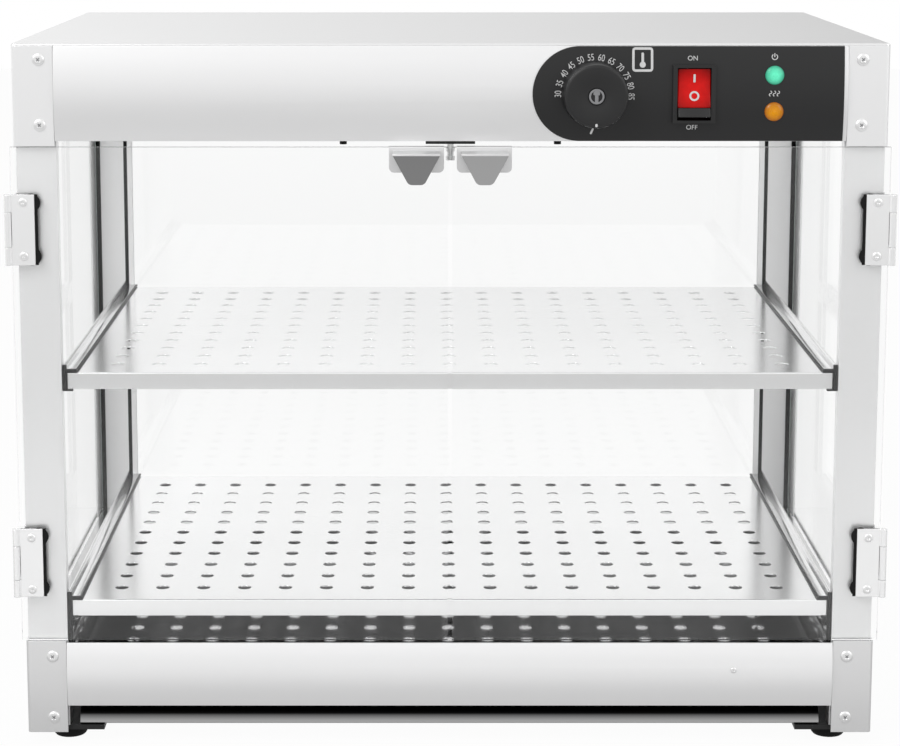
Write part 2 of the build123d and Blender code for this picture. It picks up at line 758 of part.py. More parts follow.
# Fixed hinge brackets on the posts' sides: a plate, a crank round the glass and a knuckle
knuckle_half = hinge_height * knuckle_share / 2
crank_outer_x = hinge_axis_x + knuckle_radius
crank_inner_x = crank_outer_x - leaf_thickness
bracket_seat_x = post_outer_x
with BuildPart() as brackets:
    for sign in sides.values():
        for z in hinge_levels:
            middle = (z - knuckle_half + knuckle_gap, z + knuckle_half - knuckle_gap)
            crank_y = front_y + bracket_step
            block((sign * crank_inner_x, sign * crank_outer_x), (hinge_axis_y, crank_y), middle)
            block((sign * bracket_seat_x, sign * crank_outer_x),
                  (crank_y, crank_y + leaf_thickness), middle)
            block((sign * bracket_seat_x, sign * (bracket_seat_x + leaf_thickness)),
                  (crank_y, crank_y + bracket_depth),
                  (z - hinge_height / 2, z + hinge_height / 2))
            upright(sign * hinge_axis_x, hinge_axis_y, middle[0], knuckle_radius,
                    middle[1] - middle[0])
            upright(sign * hinge_axis_x, hinge_axis_y, middle[0],
                    hinge_pin_radius + running_clearance, middle[1] - middle[0], Mode.SUBTRACT)
finish(brackets, "hinge_brackets")

with BuildPart() as pins:
    for z in hinge_levels:
        for sign in sides.values():
            upright(sign * hinge_axis_x, hinge_axis_y, z - hinge_height / 2, hinge_pin_radius,
                    hinge_height)
finish(pins, "hinge_pins")

# Doors: glass, pull, hinge leaves, gaskets and screws, mirrored left and right
leaf_outer_x = door_outer_x - leaf_to_glass_edge
leaf_inner_x = leaf_outer_x - leaf_width
leaf_back_y = front_y - gasket_thickness
leaf_front_y = leaf_back_y - leaf_thickness
hinge_screw_x = (leaf_outer_x + leaf_inner_x) / 2
hinge_screw_levels = [z + rise * hinge_screw_pitch / 2 for z in hinge_levels for rise in (-1, 1)]
pull_inner_x = pull_from_centre
pull_outer_x = pull_inner_x + pull_plate_width
pull_centre_x = (pull_inner_x + pull_outer_x) / 2
pull_top_z = door_top_z + pull_slack + pull_sheet
ledge_top_z = pull_top_z - pull_ledge_drop
for side, sign in sides.items():
    with BuildPart() as door_glass:
        block((sign * door_centre_gap / 2, sign * door_outer_x),
              (front_y, front_y + glass_thickness), (door_bottom_z, door_top_z))
        for z in hinge_screw_levels:
            disc(front_y + glass_thickness, sign * hinge_screw_x, z, glass_hole_radius,
                 glass_thickness, Mode.SUBTRACT)
    finish(door_glass, f"door_glass_{side}")

    with BuildPart() as pull:
        with BuildSketch(facing_front(front_y - pull_slack)):
            with Locations((sign * pull_centre_x, pull_top_z - pull_plate_height / 2)):
                Rectangle(pull_plate_width, pull_plate_height)
        extrude(amount=pull_sheet)
        fillet(pull.edges().filter_by(Axis.Y).group_by(Axis.Z)[0], radius=3 * pull_sheet)
        block((sign * pull_inner_x, sign * pull_outer_x),
              (front_y - pull_slack, front_y + glass_thickness + pull_slack + pull_sheet),
              (pull_top_z - pull_sheet, pull_top_z))
        block((sign * pull_inner_x, sign * pull_outer_x),
              (front_y + glass_thickness + pull_slack,
               front_y + glass_thickness + pull_slack + pull_sheet),
              (pull_top_z - pull_back_height, pull_top_z))
        block((sign * (pull_centre_x - pull_tab_width / 2),
               sign * (pull_centre_x + pull_tab_width / 2)),
              (front_y - pull_reach, front_y - pull_slack),
              (ledge_top_z - pull_sheet, ledge_top_z))
        with BuildSketch(facing_front(front_y - pull_reach + pull_sheet)):
            with BuildLine():
                Polyline((sign * pull_centre_x - pull_tab_width / 2, ledge_top_z),
                         (sign * pull_centre_x + pull_tab_width / 2, ledge_top_z),
                         (sign * pull_centre_x + pull_tab_tip / 2, ledge_top_z - pull_tab_height),
                         (sign * pull_centre_x - pull_tab_tip / 2, ledge_top_z - pull_tab_height),
                         close=True)
            make_face()
        extrude(amount=pull_sheet)
    finish(pull, f"door_pull_{side}")

    with BuildPart() as leaves:
        for z in hinge_levels:
            ends_of_leaf = (z - hinge_height / 2, z + hinge_height / 2)
            block((sign * leaf_inner_x, sign * leaf_outer_x), (leaf_front_y, leaf_back_y),
                  ends_of_leaf)
            knuckle_levels = ((ends_of_leaf[0], z - knuckle_half),
                              (z + knuckle_half, ends_of_leaf[1]))
            for low, high in knuckle_levels:
                block((sign * leaf_outer_x, sign * hinge_axis_x), (leaf_front_y, leaf_back_y),
                      (low, high))
                upright(sign * hinge_axis_x, hinge_axis_y, low, knuckle_radius, high - low)
                upright(sign * hinge_axis_x, hinge_axis_y, low,
                        hinge_pin_radius + running_clearance, high - low, Mode.SUBTRACT)
        for z in hinge_screw_levels:
            disc(leaf_back_y, sign * hinge_screw_x, z, hinge_screw_radius + cut_slack,
                 leaf_thickness, Mode.SUBTRACT)
    finish(leaves, f"hinge_leaves_{side}")

    with BuildPart() as gaskets:
        for z in hinge_levels:
            block((sign * (leaf_inner_x - gasket_border), sign * leaf_outer_x),
                  (leaf_back_y, front_y), (z - hinge_height / 2, z + hinge_height / 2))
        for z in hinge_screw_levels:
            disc(front_y, sign * (leaf_inner_x + gasket_ear_radius - gasket_border
                                  - gasket_ear_reach),
                 z, gasket_ear_radius, gasket_thickness)
        for z in hinge_screw_levels:
            disc(front_y, sign * hinge_screw_x, z, hinge_screw_radius + cut_slack,
                 gasket_thickness, Mode.SUBTRACT)
    finish(gaskets, f"hinge_gaskets_{side}")

    with BuildPart() as hinge_screws:
        nut_y = front_y + glass_thickness + hinge_nut
        for z in hinge_screw_levels:
            disc(nut_y, sign * hinge_screw_x, z, hinge_nut_radius, hinge_nut)
            disc(nut_y, sign * hinge_screw_x, z, hinge_screw_radius, nut_y - leaf_front_y)
            disc(leaf_front_y, sign * hinge_screw_x, z, hinge_screw_head_radius, hinge_screw_head)
    finish(hinge_screws, f"hinge_screws_{side}")
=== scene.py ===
"""Dressed model of a two-tier countertop heated display cabinet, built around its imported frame."""

from __future__ import annotations

import logging
import math
from collections.abc import Iterable, Sequence
from dataclasses import dataclass, field
from enum import Enum

import bmesh
import bpy
from mathutils import Matrix, Vector


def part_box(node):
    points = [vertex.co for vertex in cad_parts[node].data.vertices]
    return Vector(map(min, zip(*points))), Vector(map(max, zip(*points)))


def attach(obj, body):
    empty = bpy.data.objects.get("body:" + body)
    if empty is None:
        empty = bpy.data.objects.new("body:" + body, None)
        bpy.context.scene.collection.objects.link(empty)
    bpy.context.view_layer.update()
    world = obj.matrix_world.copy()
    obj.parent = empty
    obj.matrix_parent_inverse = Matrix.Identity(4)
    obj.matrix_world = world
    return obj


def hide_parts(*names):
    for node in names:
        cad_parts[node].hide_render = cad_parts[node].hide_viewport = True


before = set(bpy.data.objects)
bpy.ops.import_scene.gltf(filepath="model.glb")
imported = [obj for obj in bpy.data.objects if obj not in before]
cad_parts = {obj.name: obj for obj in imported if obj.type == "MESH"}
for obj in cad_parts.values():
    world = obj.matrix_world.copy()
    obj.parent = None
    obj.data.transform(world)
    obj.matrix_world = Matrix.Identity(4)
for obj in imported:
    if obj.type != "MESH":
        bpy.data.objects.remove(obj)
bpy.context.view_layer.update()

log = logging.getLogger("cabinet")

FULL_TURN = 2 * math.pi
QUARTER_TURN = math.radians(90)
WELD = 1e-6
SMOOTH_ANGLE = math.radians(35)
TOWARDS_FRONT = Vector((0, -1, 0))
WHITE = (1.0, 1.0, 1.0)
EVEN_GRAIN = (600.0, 600.0, 600.0)
GRAIN_DETAIL = 4.0
BROAD_CLOUDS = 9.0
CLOUD_DETAIL = 3.0
SOFT_EDGE = 0.0005
EDGE_GAIN = 3.0
EDGE_SAMPLES = 6
FACING_DOWN = -0.7
MOSTLY_FACING = 0.5
ANY_BOUNCE = 0.5
Colour = tuple[float, float, float]
Profile = tuple[tuple[float, float], ...]


class Body(Enum):
    """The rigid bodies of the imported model."""

    CABINET = "cabinet"
    DOOR_LEFT = "door_left"
    DOOR_RIGHT = "door_right"
    KNOB = "knob"
    ROCKER = "rocker"


class Slot(Enum):
    """The record's material slots, passed with each piece."""

    STAINLESS = "stainless_steel"
    POLISHED = "polished_steel"
    RUBBER = "black_rubber"
    BLACK = "black_plastic"
    PALE = "pale_plastic"
    RED = "red_plastic"
    GREEN = "green_lens"
    AMBER = "amber_lens"


class Side(Enum):
    """Left and right as seen from the front, with the sign of X on each."""

    LEFT = -1
    RIGHT = 1

    @property
    def label(self) -> str:
        """The side's word in node names."""
        return self.name.lower()

    @property
    def body(self) -> Body:
        """The door body on this side."""
        return Body.DOOR_LEFT if self is Side.LEFT else Body.DOOR_RIGHT


class Graph:
    """A node tree with short calls for adding and joining nodes."""

    def __init__(self, tree: bpy.types.NodeTree) -> None:
        """Start on an empty tree.

        Args:
            tree: The tree of a material, world or shader group.
        """
        self.tree = tree
        self.tree.nodes.clear()

    def add(self, kind: str, **settings: object) -> bpy.types.Node:
        """Add a node.

        Args:
            kind: The node's type without its ShaderNode prefix.
            settings: Properties to set on the node.

        Returns:
            The new node.
        """
        node = self.tree.nodes.new(kind if kind.startswith("Node") else f"ShaderNode{kind}")
        for name, value in settings.items():
            setattr(node, name, value)
        return node

    def feed(self, socket: bpy.types.NodeSocket, value: object) -> None:
        """Link a socket into another, or set its plain value.

        Args:
            socket: The input that receives the value.
            value: An output socket, or a number, colour or vector.
        """
        if isinstance(value, bpy.types.NodeSocket):
            self.tree.links.new(value, socket)
        else:
            socket.default_value = value

    def math(self, operation: str, first: object, second: object = 0.0,
             clamp: bool = False) -> bpy.types.NodeSocket:
        """Join two values by one operation.

        Args:
            operation: The Math node's operation.
            first: The first value or socket.
            second: The second value or socket.
            clamp: Whether the result is kept between 0 and 1.

        Returns:
            The result's socket.
        """
        node = self.add("Math", operation=operation, use_clamp=clamp)
        self.feed(node.inputs[0], first)
        self.feed(node.inputs[1], second)
        return node.outputs[0]

    def spread(self, value: object, low: float, high: float) -> bpy.types.NodeSocket:
        """Map a value from 0 and 1 to a low and a high number."""
        return self.math("ADD", self.math("MULTIPLY", value, high - low), low)

    def blend(self, share: object, first: object, second: object) -> bpy.types.NodeSocket:
        """Mix two colours.

        Args:
            share: How much of the second colour is taken.
            first: The first colour or socket.
            second: The second colour or socket.

        Returns:
            The mixed colour's socket.
        """
        node = self.add("MixRGB")
        for socket, value in zip(node.inputs, (share, first, second)):
            self.feed(socket, (*value, 1.0) if isinstance(value, tuple) else value)
        return node.outputs[0]


def new_group(name: str, inputs: dict[str, tuple[str, object]],
              outputs: dict[str, str]) -> tuple[Graph, bpy.types.Node, bpy.types.Node]:
    """Open a shader node group.

    Args:
        name: The group's name.
        inputs: Each input's socket type and default value.
        outputs: Each output's socket type.

    Returns:
        The group's graph, its input node and its output node.
    """
    tree = bpy.data.node_groups.new(name, "ShaderNodeTree")
    graph = Graph(tree)
    for label, (kind, value) in inputs.items():
        socket = tree.interface.new_socket(name=label, in_out="INPUT", socket_type=kind)
        socket.default_value = value
    for label, kind in outputs.items():
        tree.interface.new_socket(name=label, in_out="OUTPUT", socket_type=kind)
    return graph, graph.add("NodeGroupInput"), graph.add("NodeGroupOutput")


def surface_grain_group() -> bpy.types.NodeTree:
    """Build the group that gives fine directed grain and broad handling marks.

    Returns:
        A group with outputs Grain and Cloud, both from 0 to 1.
    """
    graph, source, sink = new_group(
        "surface_grain",
        {"Stretch": ("NodeSocketVector", EVEN_GRAIN),
         "Cloud Scale": ("NodeSocketFloat", BROAD_CLOUDS)},
        {"Grain": "NodeSocketFloat", "Cloud": "NodeSocketFloat"})
    place = graph.add("TexCoord").outputs["Object"]
    scaled = graph.add("VectorMath", operation="MULTIPLY")
    graph.feed(scaled.inputs[0], place)
    graph.feed(scaled.inputs[1], source.outputs["Stretch"])
    grain = graph.add("TexNoise")
    grain.inputs["Scale"].default_value = 1.0
    grain.inputs["Detail"].default_value = GRAIN_DETAIL
    graph.feed(grain.inputs["Vector"], scaled.outputs[0])
    cloud = graph.add("TexNoise")
    cloud.inputs["Detail"].default_value = CLOUD_DETAIL
    graph.feed(cloud.inputs["Vector"], place)
    graph.feed(cloud.inputs["Scale"], source.outputs["Cloud Scale"])
    graph.feed(sink.inputs["Grain"], grain.outputs[0])
    graph.feed(sink.inputs["Cloud"], cloud.outputs[0])
    return graph.tree


def soft_edge_group() -> bpy.types.NodeTree:
    """Build the group that rounds the shading of an edge and finds where the edge is.

    Returns:
        A group with outputs Normal and Edge, the latter from 0 to 1.
    """
    graph, source, sink = new_group(
        "soft_edge",
        {"Radius": ("NodeSocketFloat", SOFT_EDGE), "Gain": ("NodeSocketFloat", EDGE_GAIN)},
        {"Normal": "NodeSocketVector", "Edge": "NodeSocketFloat"})
    rounded = graph.add("Bevel", samples=EDGE_SAMPLES)
    graph.feed(rounded.inputs["Radius"], source.outputs["Radius"])
    facing = graph.add("VectorMath", operation="DOT_PRODUCT")
    graph.feed(facing.inputs[0], rounded.outputs[0])
    graph.feed(facing.inputs[1], graph.add("NewGeometry").outputs["True Normal"])
    away = graph.math("SUBTRACT", 1.0, facing.outputs["Value"])
    edge = graph.math("MULTIPLY", away, source.outputs["Gain"], clamp=True)
    graph.feed(sink.inputs["Normal"], rounded.outputs[0])
    graph.feed(sink.inputs["Edge"], edge)
    return graph.tree


def new_material(name: str) -> tuple[bpy.types.Material, Graph]:
    """Open an empty material.

    Args:
        name: The material's name.

    Returns:
        The material and its graph.
    """
    material = bpy.data.materials.new(name)
    material.use_nodes = True
    return material, Graph(material.node_tree)


GRAIN_GROUP = surface_grain_group()
EDGE_GROUP = soft_edge_group()


@dataclass(frozen=True)
class Surface:
    """A named surface that builds its material once."""

    name: str

    def fill(self, graph: Graph, shader: bpy.types.Node) -> bpy.types.NodeSocket:
        """Set up the surface's shader.

        Args:
            graph: The material's graph.
            shader: Its Principled shader.

        Returns:
            The socket that the surface shows.
        """
        raise NotImplementedError

    def material(self) -> bpy.types.Material:
        """Build the material once and return it each time.

        Returns:
            The material of this surface.
        """
        found = bpy.data.materials.get(self.name)
        if found is not None:
            return found
        material, graph = new_material(self.name)
        surface = self.fill(graph, graph.add("BsdfPrincipled"))
        graph.feed(graph.add("OutputMaterial").inputs["Surface"], surface)
        return material


@dataclass(frozen=True)
class Finish(Surface):
    """An opaque surface: its colour, gloss, grain, edges lightened by a painted highlight that is
    partly wear on the black plastics, and painted shade where set.
    """

    colour: Colour
    roughness: tuple[float, float]
    metallic: float = 0.0
    shade: float = 0.94
    # Edges lighten towards edge_colour: a painted highlight, partly wear on the black plastics and
    # rubber.
    edge_colour: Colour | None = None
    edge_share: float = 0.35
    edge_radius: float = SOFT_EDGE
    stretch: tuple[float, float, float] = EVEN_GRAIN
    cloud_scale: float = BROAD_CLOUDS
    relief: float = 0.02
    relief_depth: float = 0.0002
    specular: float = 0.5
    # The next three fields paint shade: darker upwards between two heights, darker where the face
    # points down, and the dark colour used.
    fade: tuple[float, float] | None = None
    underside: float = 0.0
    dark_colour: Colour = (0.012, 0.012, 0.012)

    def painted_shade(self, graph: Graph) -> bpy.types.NodeSocket | None:
        """Give the share of painted shade, by height and by facing down.

        Args:
            graph: The material's graph.

        Returns:
            The share of the dark colour, or None if this finish has no painted shade.
        """
        if self.fade is not None:
            spot = graph.add("SeparateXYZ")
            graph.feed(spot.inputs[0], graph.add("TexCoord").outputs["Object"])
            unshaded, dark = self.fade
            return graph.math("DIVIDE", graph.math("SUBTRACT", spot.outputs["Z"], unshaded),
                              dark - unshaded, clamp=True)
        if self.underside:
            normal = graph.add("SeparateXYZ")
            graph.feed(normal.inputs[0], graph.add("NewGeometry").outputs["True Normal"])
            down = graph.math("LESS_THAN", normal.outputs["Z"], FACING_DOWN)
            return graph.math("MULTIPLY", down, self.underside)
        return None

    def fill(self, graph: Graph, shader: bpy.types.Node) -> bpy.types.NodeSocket:
        """Join grain, handling marks, the painted edge highlight (partly wear on plastics) and
        painted shade on the shader.

        Args:
            graph: The material's graph.
            shader: Its Principled shader.

        Returns:
            The shader's output.
        """
        grain = graph.add("Group", node_tree=GRAIN_GROUP)
        grain.inputs["Stretch"].default_value = self.stretch
        grain.inputs["Cloud Scale"].default_value = self.cloud_scale
        edge = graph.add("Group", node_tree=EDGE_GROUP)
        edge.inputs["Radius"].default_value = self.edge_radius
        dim = tuple(channel * self.shade for channel in self.colour)
        body = graph.blend(grain.outputs["Cloud"], self.colour, dim)
        # The edge share lightens towards the edge colour: painted highlight, partly wear on
        # plastics.
        edge_highlight_and_wear = self.edge_colour or self.colour
        share = graph.math("MULTIPLY", edge.outputs["Edge"], self.edge_share)
        tone = graph.blend(share, body, edge_highlight_and_wear)
        # Painted shade: darker towards the top of the tray's roll, and on faces pointing down.
        dark = self.painted_shade(graph)
        if dark is not None:
            tone = graph.blend(dark, tone, self.dark_colour)
        graph.feed(shader.inputs["Base Color"], tone)
        halves = [graph.math("MULTIPLY", grain.outputs[label], 0.5)
                  for label in ("Grain", "Cloud")]
        mixed = graph.math("ADD", *halves)
        graph.feed(shader.inputs["Roughness"], graph.spread(mixed, *self.roughness))
        bump = graph.add("Bump")
        bump.inputs["Strength"].default_value = self.relief
        bump.inputs["Distance"].default_value = self.relief_depth
        graph.feed(bump.inputs["Height"], grain.outputs["Grain"])
        graph.feed(bump.inputs["Normal"], edge.outputs["Normal"])
        graph.feed(shader.inputs["Normal"], bump.outputs[0])
        shader.inputs["Metallic"].default_value = self.metallic
        shader.inputs["Specular IOR Level"].default_value = self.specular
        return shader.outputs[0]


@dataclass(frozen=True)
class GlassFinish(Surface):
    """Clear toughened glass that lets the lamps' light through, with tinted cut edges."""

    face_axis: int
    colour: Colour = (0.998, 1.0, 0.999)
    edge_colour: Colour = (0.8, 0.88, 0.85)
    ior: float = 1.45
    roughness: tuple[float, float] = (0.0, 0.012)

    def fill(self, graph: Graph, shader: bpy.types.Node) -> bpy.types.NodeSocket:
        """Make the shader clear, and tint it where it faces along the pane.

        Args:
            graph: The material's graph.
            shader: Its Principled shader.

        Returns:
            The clear shader, open to the lamps' shadow rays.
        """
        shader.inputs["Transmission Weight"].default_value = 1.0
        shader.inputs["IOR"].default_value = self.ior
        normal = graph.add("SeparateXYZ")
        graph.feed(normal.inputs[0], graph.add("NewGeometry").outputs["Normal"])
        flat = graph.math("ABSOLUTE", normal.outputs[self.face_axis])
        graph.feed(shader.inputs["Base Color"], graph.blend(flat, self.edge_colour, self.colour))
        grain = graph.add("Group", node_tree=GRAIN_GROUP)
        graph.feed(shader.inputs["Roughness"],
                   graph.spread(grain.outputs["Cloud"], *self.roughness))
        clear = graph.add("BsdfTransparent")
        mix = graph.add("MixShader")
        graph.feed(mix.inputs[0], graph.add("LightPath").outputs["Is Shadow Ray"])
        graph.feed(mix.inputs[1], shader.outputs[0])
        graph.feed(mix.inputs[2], clear.outputs[0])
        return mix.outputs[0]


@dataclass(frozen=True)
class LensFinish(Surface):
    """A coloured plastic that glows a little from within and darkens away from its centre; on the
    lamps this is their own light, on the rocker it is painted light and painted shade.
    """

    colour: Colour
    deep_colour: Colour
    glow: float
    centre: tuple[float, float, float]
    reach: float
    falloff: float = 2.0
    cloud_scale: float = 420.0
    cloud_share: float = 0.35
    roughness: tuple[float, float] = (0.12, 0.25)
    specular: float = 0.35

    def fill(self, graph: Graph, shader: bpy.types.Node) -> bpy.types.NodeSocket:
        """Colour the shader by the distance from the centre, with a faint mottle.

        Args:
            graph: The material's graph.
            shader: Its Principled shader.

        Returns:
            The shader's output.
        """
        grain = graph.add("Group", node_tree=GRAIN_GROUP)
        grain.inputs["Cloud Scale"].default_value = self.cloud_scale
        offset = graph.add("VectorMath", operation="SUBTRACT")
        graph.feed(offset.inputs[0], graph.add("TexCoord").outputs["Object"])
        graph.feed(offset.inputs[1], self.centre)
        length = graph.add("VectorMath", operation="LENGTH")
        graph.feed(length.inputs[0], offset.outputs[0])
        share = graph.math("DIVIDE", length.outputs["Value"], self.reach, clamp=True)
        share = graph.math("POWER", share, self.falloff)
        body = graph.blend(share, self.colour, self.deep_colour)
        mottle = graph.math("MULTIPLY", grain.outputs["Cloud"], self.cloud_share)
        tone = graph.blend(mottle, body, self.deep_colour)
        graph.feed(shader.inputs["Base Color"], tone)
        graph.feed(shader.inputs["Emission Color"], tone)
        graph.feed(shader.inputs["Roughness"],
                   graph.spread(grain.outputs["Cloud"], *self.roughness))
        shader.inputs["Emission Strength"].default_value = self.glow
        shader.inputs["Specular IOR Level"].default_value = self.specular
        return shader.outputs[0]


LENS_RADIUS = 0.0066
# Point from which the rocker's painted glow fades.
ROCKER_GLOW_CENTRE = Vector((0, -0.004, 0.002))
STEEL_TINT = 1.003
# Pale edge colour of the steels: a painted edge highlight.
STEEL_EDGE = (0.95, 0.95, 0.95)
ALONG_X = (12.0, 1400.0, 1400.0)
ALONG_Y = (1400.0, 12.0, 1400.0)
ALONG_Z = (1400.0, 1400.0, 12.0)


def middle_of(node: str) -> Vector:
    """Give the middle of a CAD node's box."""
    low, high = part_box(node)
    return (low + high) / 2


def lamp_core(node: str) -> Vector:
    """Give the point of a lamp's front from which its glow fades."""
    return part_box(node)[0] + Vector((LENS_RADIUS, 0, LENS_RADIUS))


def brushed(name: str, stretch: tuple[float, float, float], level: float,
            roughness: tuple[float, float] = (0.3, 0.42), metallic: float = 0.85,
            **extras: object) -> Finish:
    """Give a stainless finish with its grain along one axis.

    Args:
        name: The finish's name.
        stretch: How fine the grain is along each axis.
        level: How pale the steel is; on the beams, caps, posts and pull tabs it also holds painted
            light and shade.
        roughness: The lowest and highest roughness.
        metallic: How far the surface is bare metal.
        extras: Any further fields of the finish.

    Returns:
        The finish.
    """
    return Finish(name, (level, level, level * STEEL_TINT), roughness, metallic=metallic,
                  shade=0.97, edge_colour=STEEL_EDGE, edge_share=0.25, edge_radius=0.0006,
                  stretch=stretch, relief=0.05, **extras)


# The upper and lower beams, the upper and lower caps, and the front and rear posts are one steel at
# different levels: painted light and shade.
BEAM_STEEL = {"upper": brushed("satin_steel_upper_beams", ALONG_X, 0.88),
              "lower": brushed("satin_steel_lower_beams", ALONG_X, 0.94)}
ROOF_STEEL = brushed("satin_steel_roof", ALONG_X, 0.85, (0.16, 0.24))
CAP_STEEL = {"upper": brushed("satin_steel_upper_caps", ALONG_Z, 0.92),
             "lower": brushed("satin_steel_lower_caps", ALONG_Z, 0.81)}
POST_STEEL = brushed("satin_steel_posts", ALONG_Z, 0.88)
REAR_STEEL = brushed("satin_steel_rear_posts", ALONG_Z, 0.9)
# Shelf faces that point down are darkened: painted shade.
SHELF_STEEL = brushed("bright_steel_shelves", ALONG_X, 0.98, (0.14, 0.22), 0.9,
                      underside=0.85)
HINGE_STEEL = brushed("bright_steel_hinges", ALONG_Z, 0.99, (0.2, 0.3), 0.6)
RUNNER_STEEL = brushed("bright_steel_runners", ALONG_Y, 0.93, (0.1, 0.18), 0.95)
# The tray's roll darkens towards its top under the beam: painted shade.
TRAY_STEEL = brushed("rolled_steel_tray", ALONG_X, 0.8, (0.3, 0.4), 1.0, fade=(0.0115, 0.0216),
                     dark_colour=(0.004, 0.004, 0.004))
PLATE_STEEL = brushed("satin_steel_pulls", ALONG_X, 0.74)
# The pull tabs are the pulls' steel made darker, differently on each side: painted shade.
TAB_STEEL = {Side.LEFT: brushed("pull_tab_steel_left", ALONG_X, 0.24, (0.25, 0.35), 1.0),
             Side.RIGHT: brushed("pull_tab_steel_right", ALONG_X, 0.4, (0.25, 0.35), 1.0)}
POLISHED = Finish("mirror_steel", (0.6, 0.6, 0.605), (0.03, 0.08), metallic=1.0, shade=0.96,
                  edge_colour=(0.85, 0.85, 0.85), stretch=(20.0, 900.0, 900.0), relief=0.01)
SCREW_STEEL = Finish("screw_steel", (0.86, 0.86, 0.86), (0.25, 0.38), metallic=0.8, shade=0.94,
                     edge_colour=(0.95, 0.95, 0.95), edge_radius=0.0002, relief=0.03,
                     cloud_scale=120.0)
ELEMENT_STEEL = Finish("heater_sheath", (0.42, 0.39, 0.37), (0.35, 0.55), metallic=0.9,
                       shade=0.7, edge_radius=0.0003, relief=0.15, cloud_scale=40.0)
BLACK_SATIN = Finish("black_satin_plastic", (0.013, 0.013, 0.0135), (0.34, 0.48), shade=0.8,
                     edge_colour=(0.07, 0.07, 0.07), edge_share=0.3, edge_radius=0.0003,
                     stretch=(2600.0, 2600.0, 2600.0), relief=0.06, relief_depth=0.0001,
                     specular=0.4)
PANEL_BLACK = Finish("panel_black", (0.013, 0.013, 0.0135), (0.3, 0.42), shade=0.8,
                     edge_colour=(0.07, 0.07, 0.07), edge_share=0.25, edge_radius=0.0003,
                     stretch=(2200.0, 2200.0, 2200.0), relief=0.04, relief_depth=0.0001,
                     specular=0.4)
BLACK_RUBBER = Finish("soft_black_rubber", (0.006, 0.006, 0.006), (0.55, 0.75), shade=0.8,
                      edge_colour=(0.03, 0.03, 0.03), edge_radius=0.0004,
                      stretch=(1800.0, 1800.0, 1800.0), relief=0.15, specular=0.2)
PALE_PLASTIC = Finish("pale_moulded_plastic", (0.74, 0.72, 0.66), (0.4, 0.55), shade=0.9,
                      edge_radius=0.0004, relief=0.05)
WHITE_INK = Finish("white_ink", (0.72, 0.72, 0.72), (0.45, 0.6), shade=0.88,
                   edge_radius=0.00005, cloud_scale=400.0, relief=0.1)
GREY_METAL = Finish("knob_cap_metal", (0.3, 0.3, 0.31), (0.25, 0.4), metallic=0.7, shade=0.85,
                    edge_colour=(0.5, 0.5, 0.5), edge_radius=0.0002, cloud_scale=200.0)
FRONT_GLASS = GlassFinish("pane_glass_front", face_axis=1)
SIDE_GLASS = GlassFinish("pane_glass_side", face_axis=0, ior=1.04)
# The rocker is no lamp: its glow is painted light, and its darkening away from a point before its
# middle is painted shade.
ROCKER_RED = LensFinish("rocker_red", (0.72, 0.008, 0.007), (0.14, 0.001, 0.001), glow=0.2,
                        centre=tuple(middle_of("switch_rocker") + ROCKER_GLOW_CENTRE),
                        reach=0.0175, cloud_scale=260.0, specular=0.15)
GREEN_LENS = LensFinish("green_lens_plastic", (0.16, 0.95, 0.6), (0.0, 0.16, 0.09), glow=0.25,
                        centre=tuple(lamp_core("green_lamp")), reach=0.0078)
AMBER_LENS = LensFinish("amber_lens_plastic", (0.82, 0.34, 0.002), (0.3, 0.06, 0.0), glow=0.1,
                        centre=tuple(lamp_core("amber_lamp")), reach=0.0078)


def dress(names: Iterable[str], finish: Surface) -> None:
    """Give CAD nodes a finish in place of their flat materials.

    Args:
        names: The nodes to dress.
        finish: The finish that they take.
    """
    for name in names:
        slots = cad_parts[name].data.materials
        slots.clear()
        slots.append(finish.material())
        log.info("dressed %s in %s", name, finish.name)


def place(shape: bmesh.types.BMesh, name: str, finish: Surface, body: Body,
          slot: Slot, stands_for: Sequence[str] = ()) -> bpy.types.Object:
    """Turn a finished shape into a piece that rides on a body.

    Args:
        shape: The mesh, already where it belongs; it is freed here.
        name: The piece's name.
        finish: The finish that covers it.
        body: The body that it rides on.
        slot: The record's slot for the piece; it is not used.
        stands_for: CAD nodes that it replaces.

    Returns:
        The new piece.
    """
    bmesh.ops.recalc_face_normals(shape, faces=shape.faces)
    mesh = bpy.data.meshes.new(name)
    shape.to_mesh(mesh)
    shape.free()
    mesh.shade_smooth()
    mesh.set_sharp_from_angle(angle=SMOOTH_ANGLE)
    mesh.materials.append(finish.material())
    piece = bpy.data.objects.new(name, mesh)
    bpy.context.scene.collection.objects.link(piece)
    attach(piece, body.value)
    if stands_for:
        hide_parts(*stands_for)
    log.info("built %s on %s with %d faces", name, body.value, len(mesh.polygons))
    return piece


def join(target: bmesh.types.BMesh, source: bmesh.types.BMesh,
         move: Matrix | None = None) -> None:
    """Copy a shape into another and free the first.

    Args:
        target: The shape that receives the copy.
        source: The shape that is copied and freed.
        move: A transform for the copy.
    """
    carrier = bpy.data.meshes.new("carrier")
    source.to_mesh(carrier)
    source.free()
    if move is not None:
        carrier.transform(move)
    target.from_mesh(carrier)
    bpy.data.meshes.remove(carrier)


def shift_verts(shape: bmesh.types.BMesh, items: Iterable[object], by: Vector) -> None:
    """Move the points among an operator's results.

    Args:
        shape: The shape that they belong to.
        items: The operator's results.
        by: How far they move.
    """
    points = [item for item in items if isinstance(item, bmesh.types.BMVert)]
    bmesh.ops.translate(shape, verts=points, vec=by)


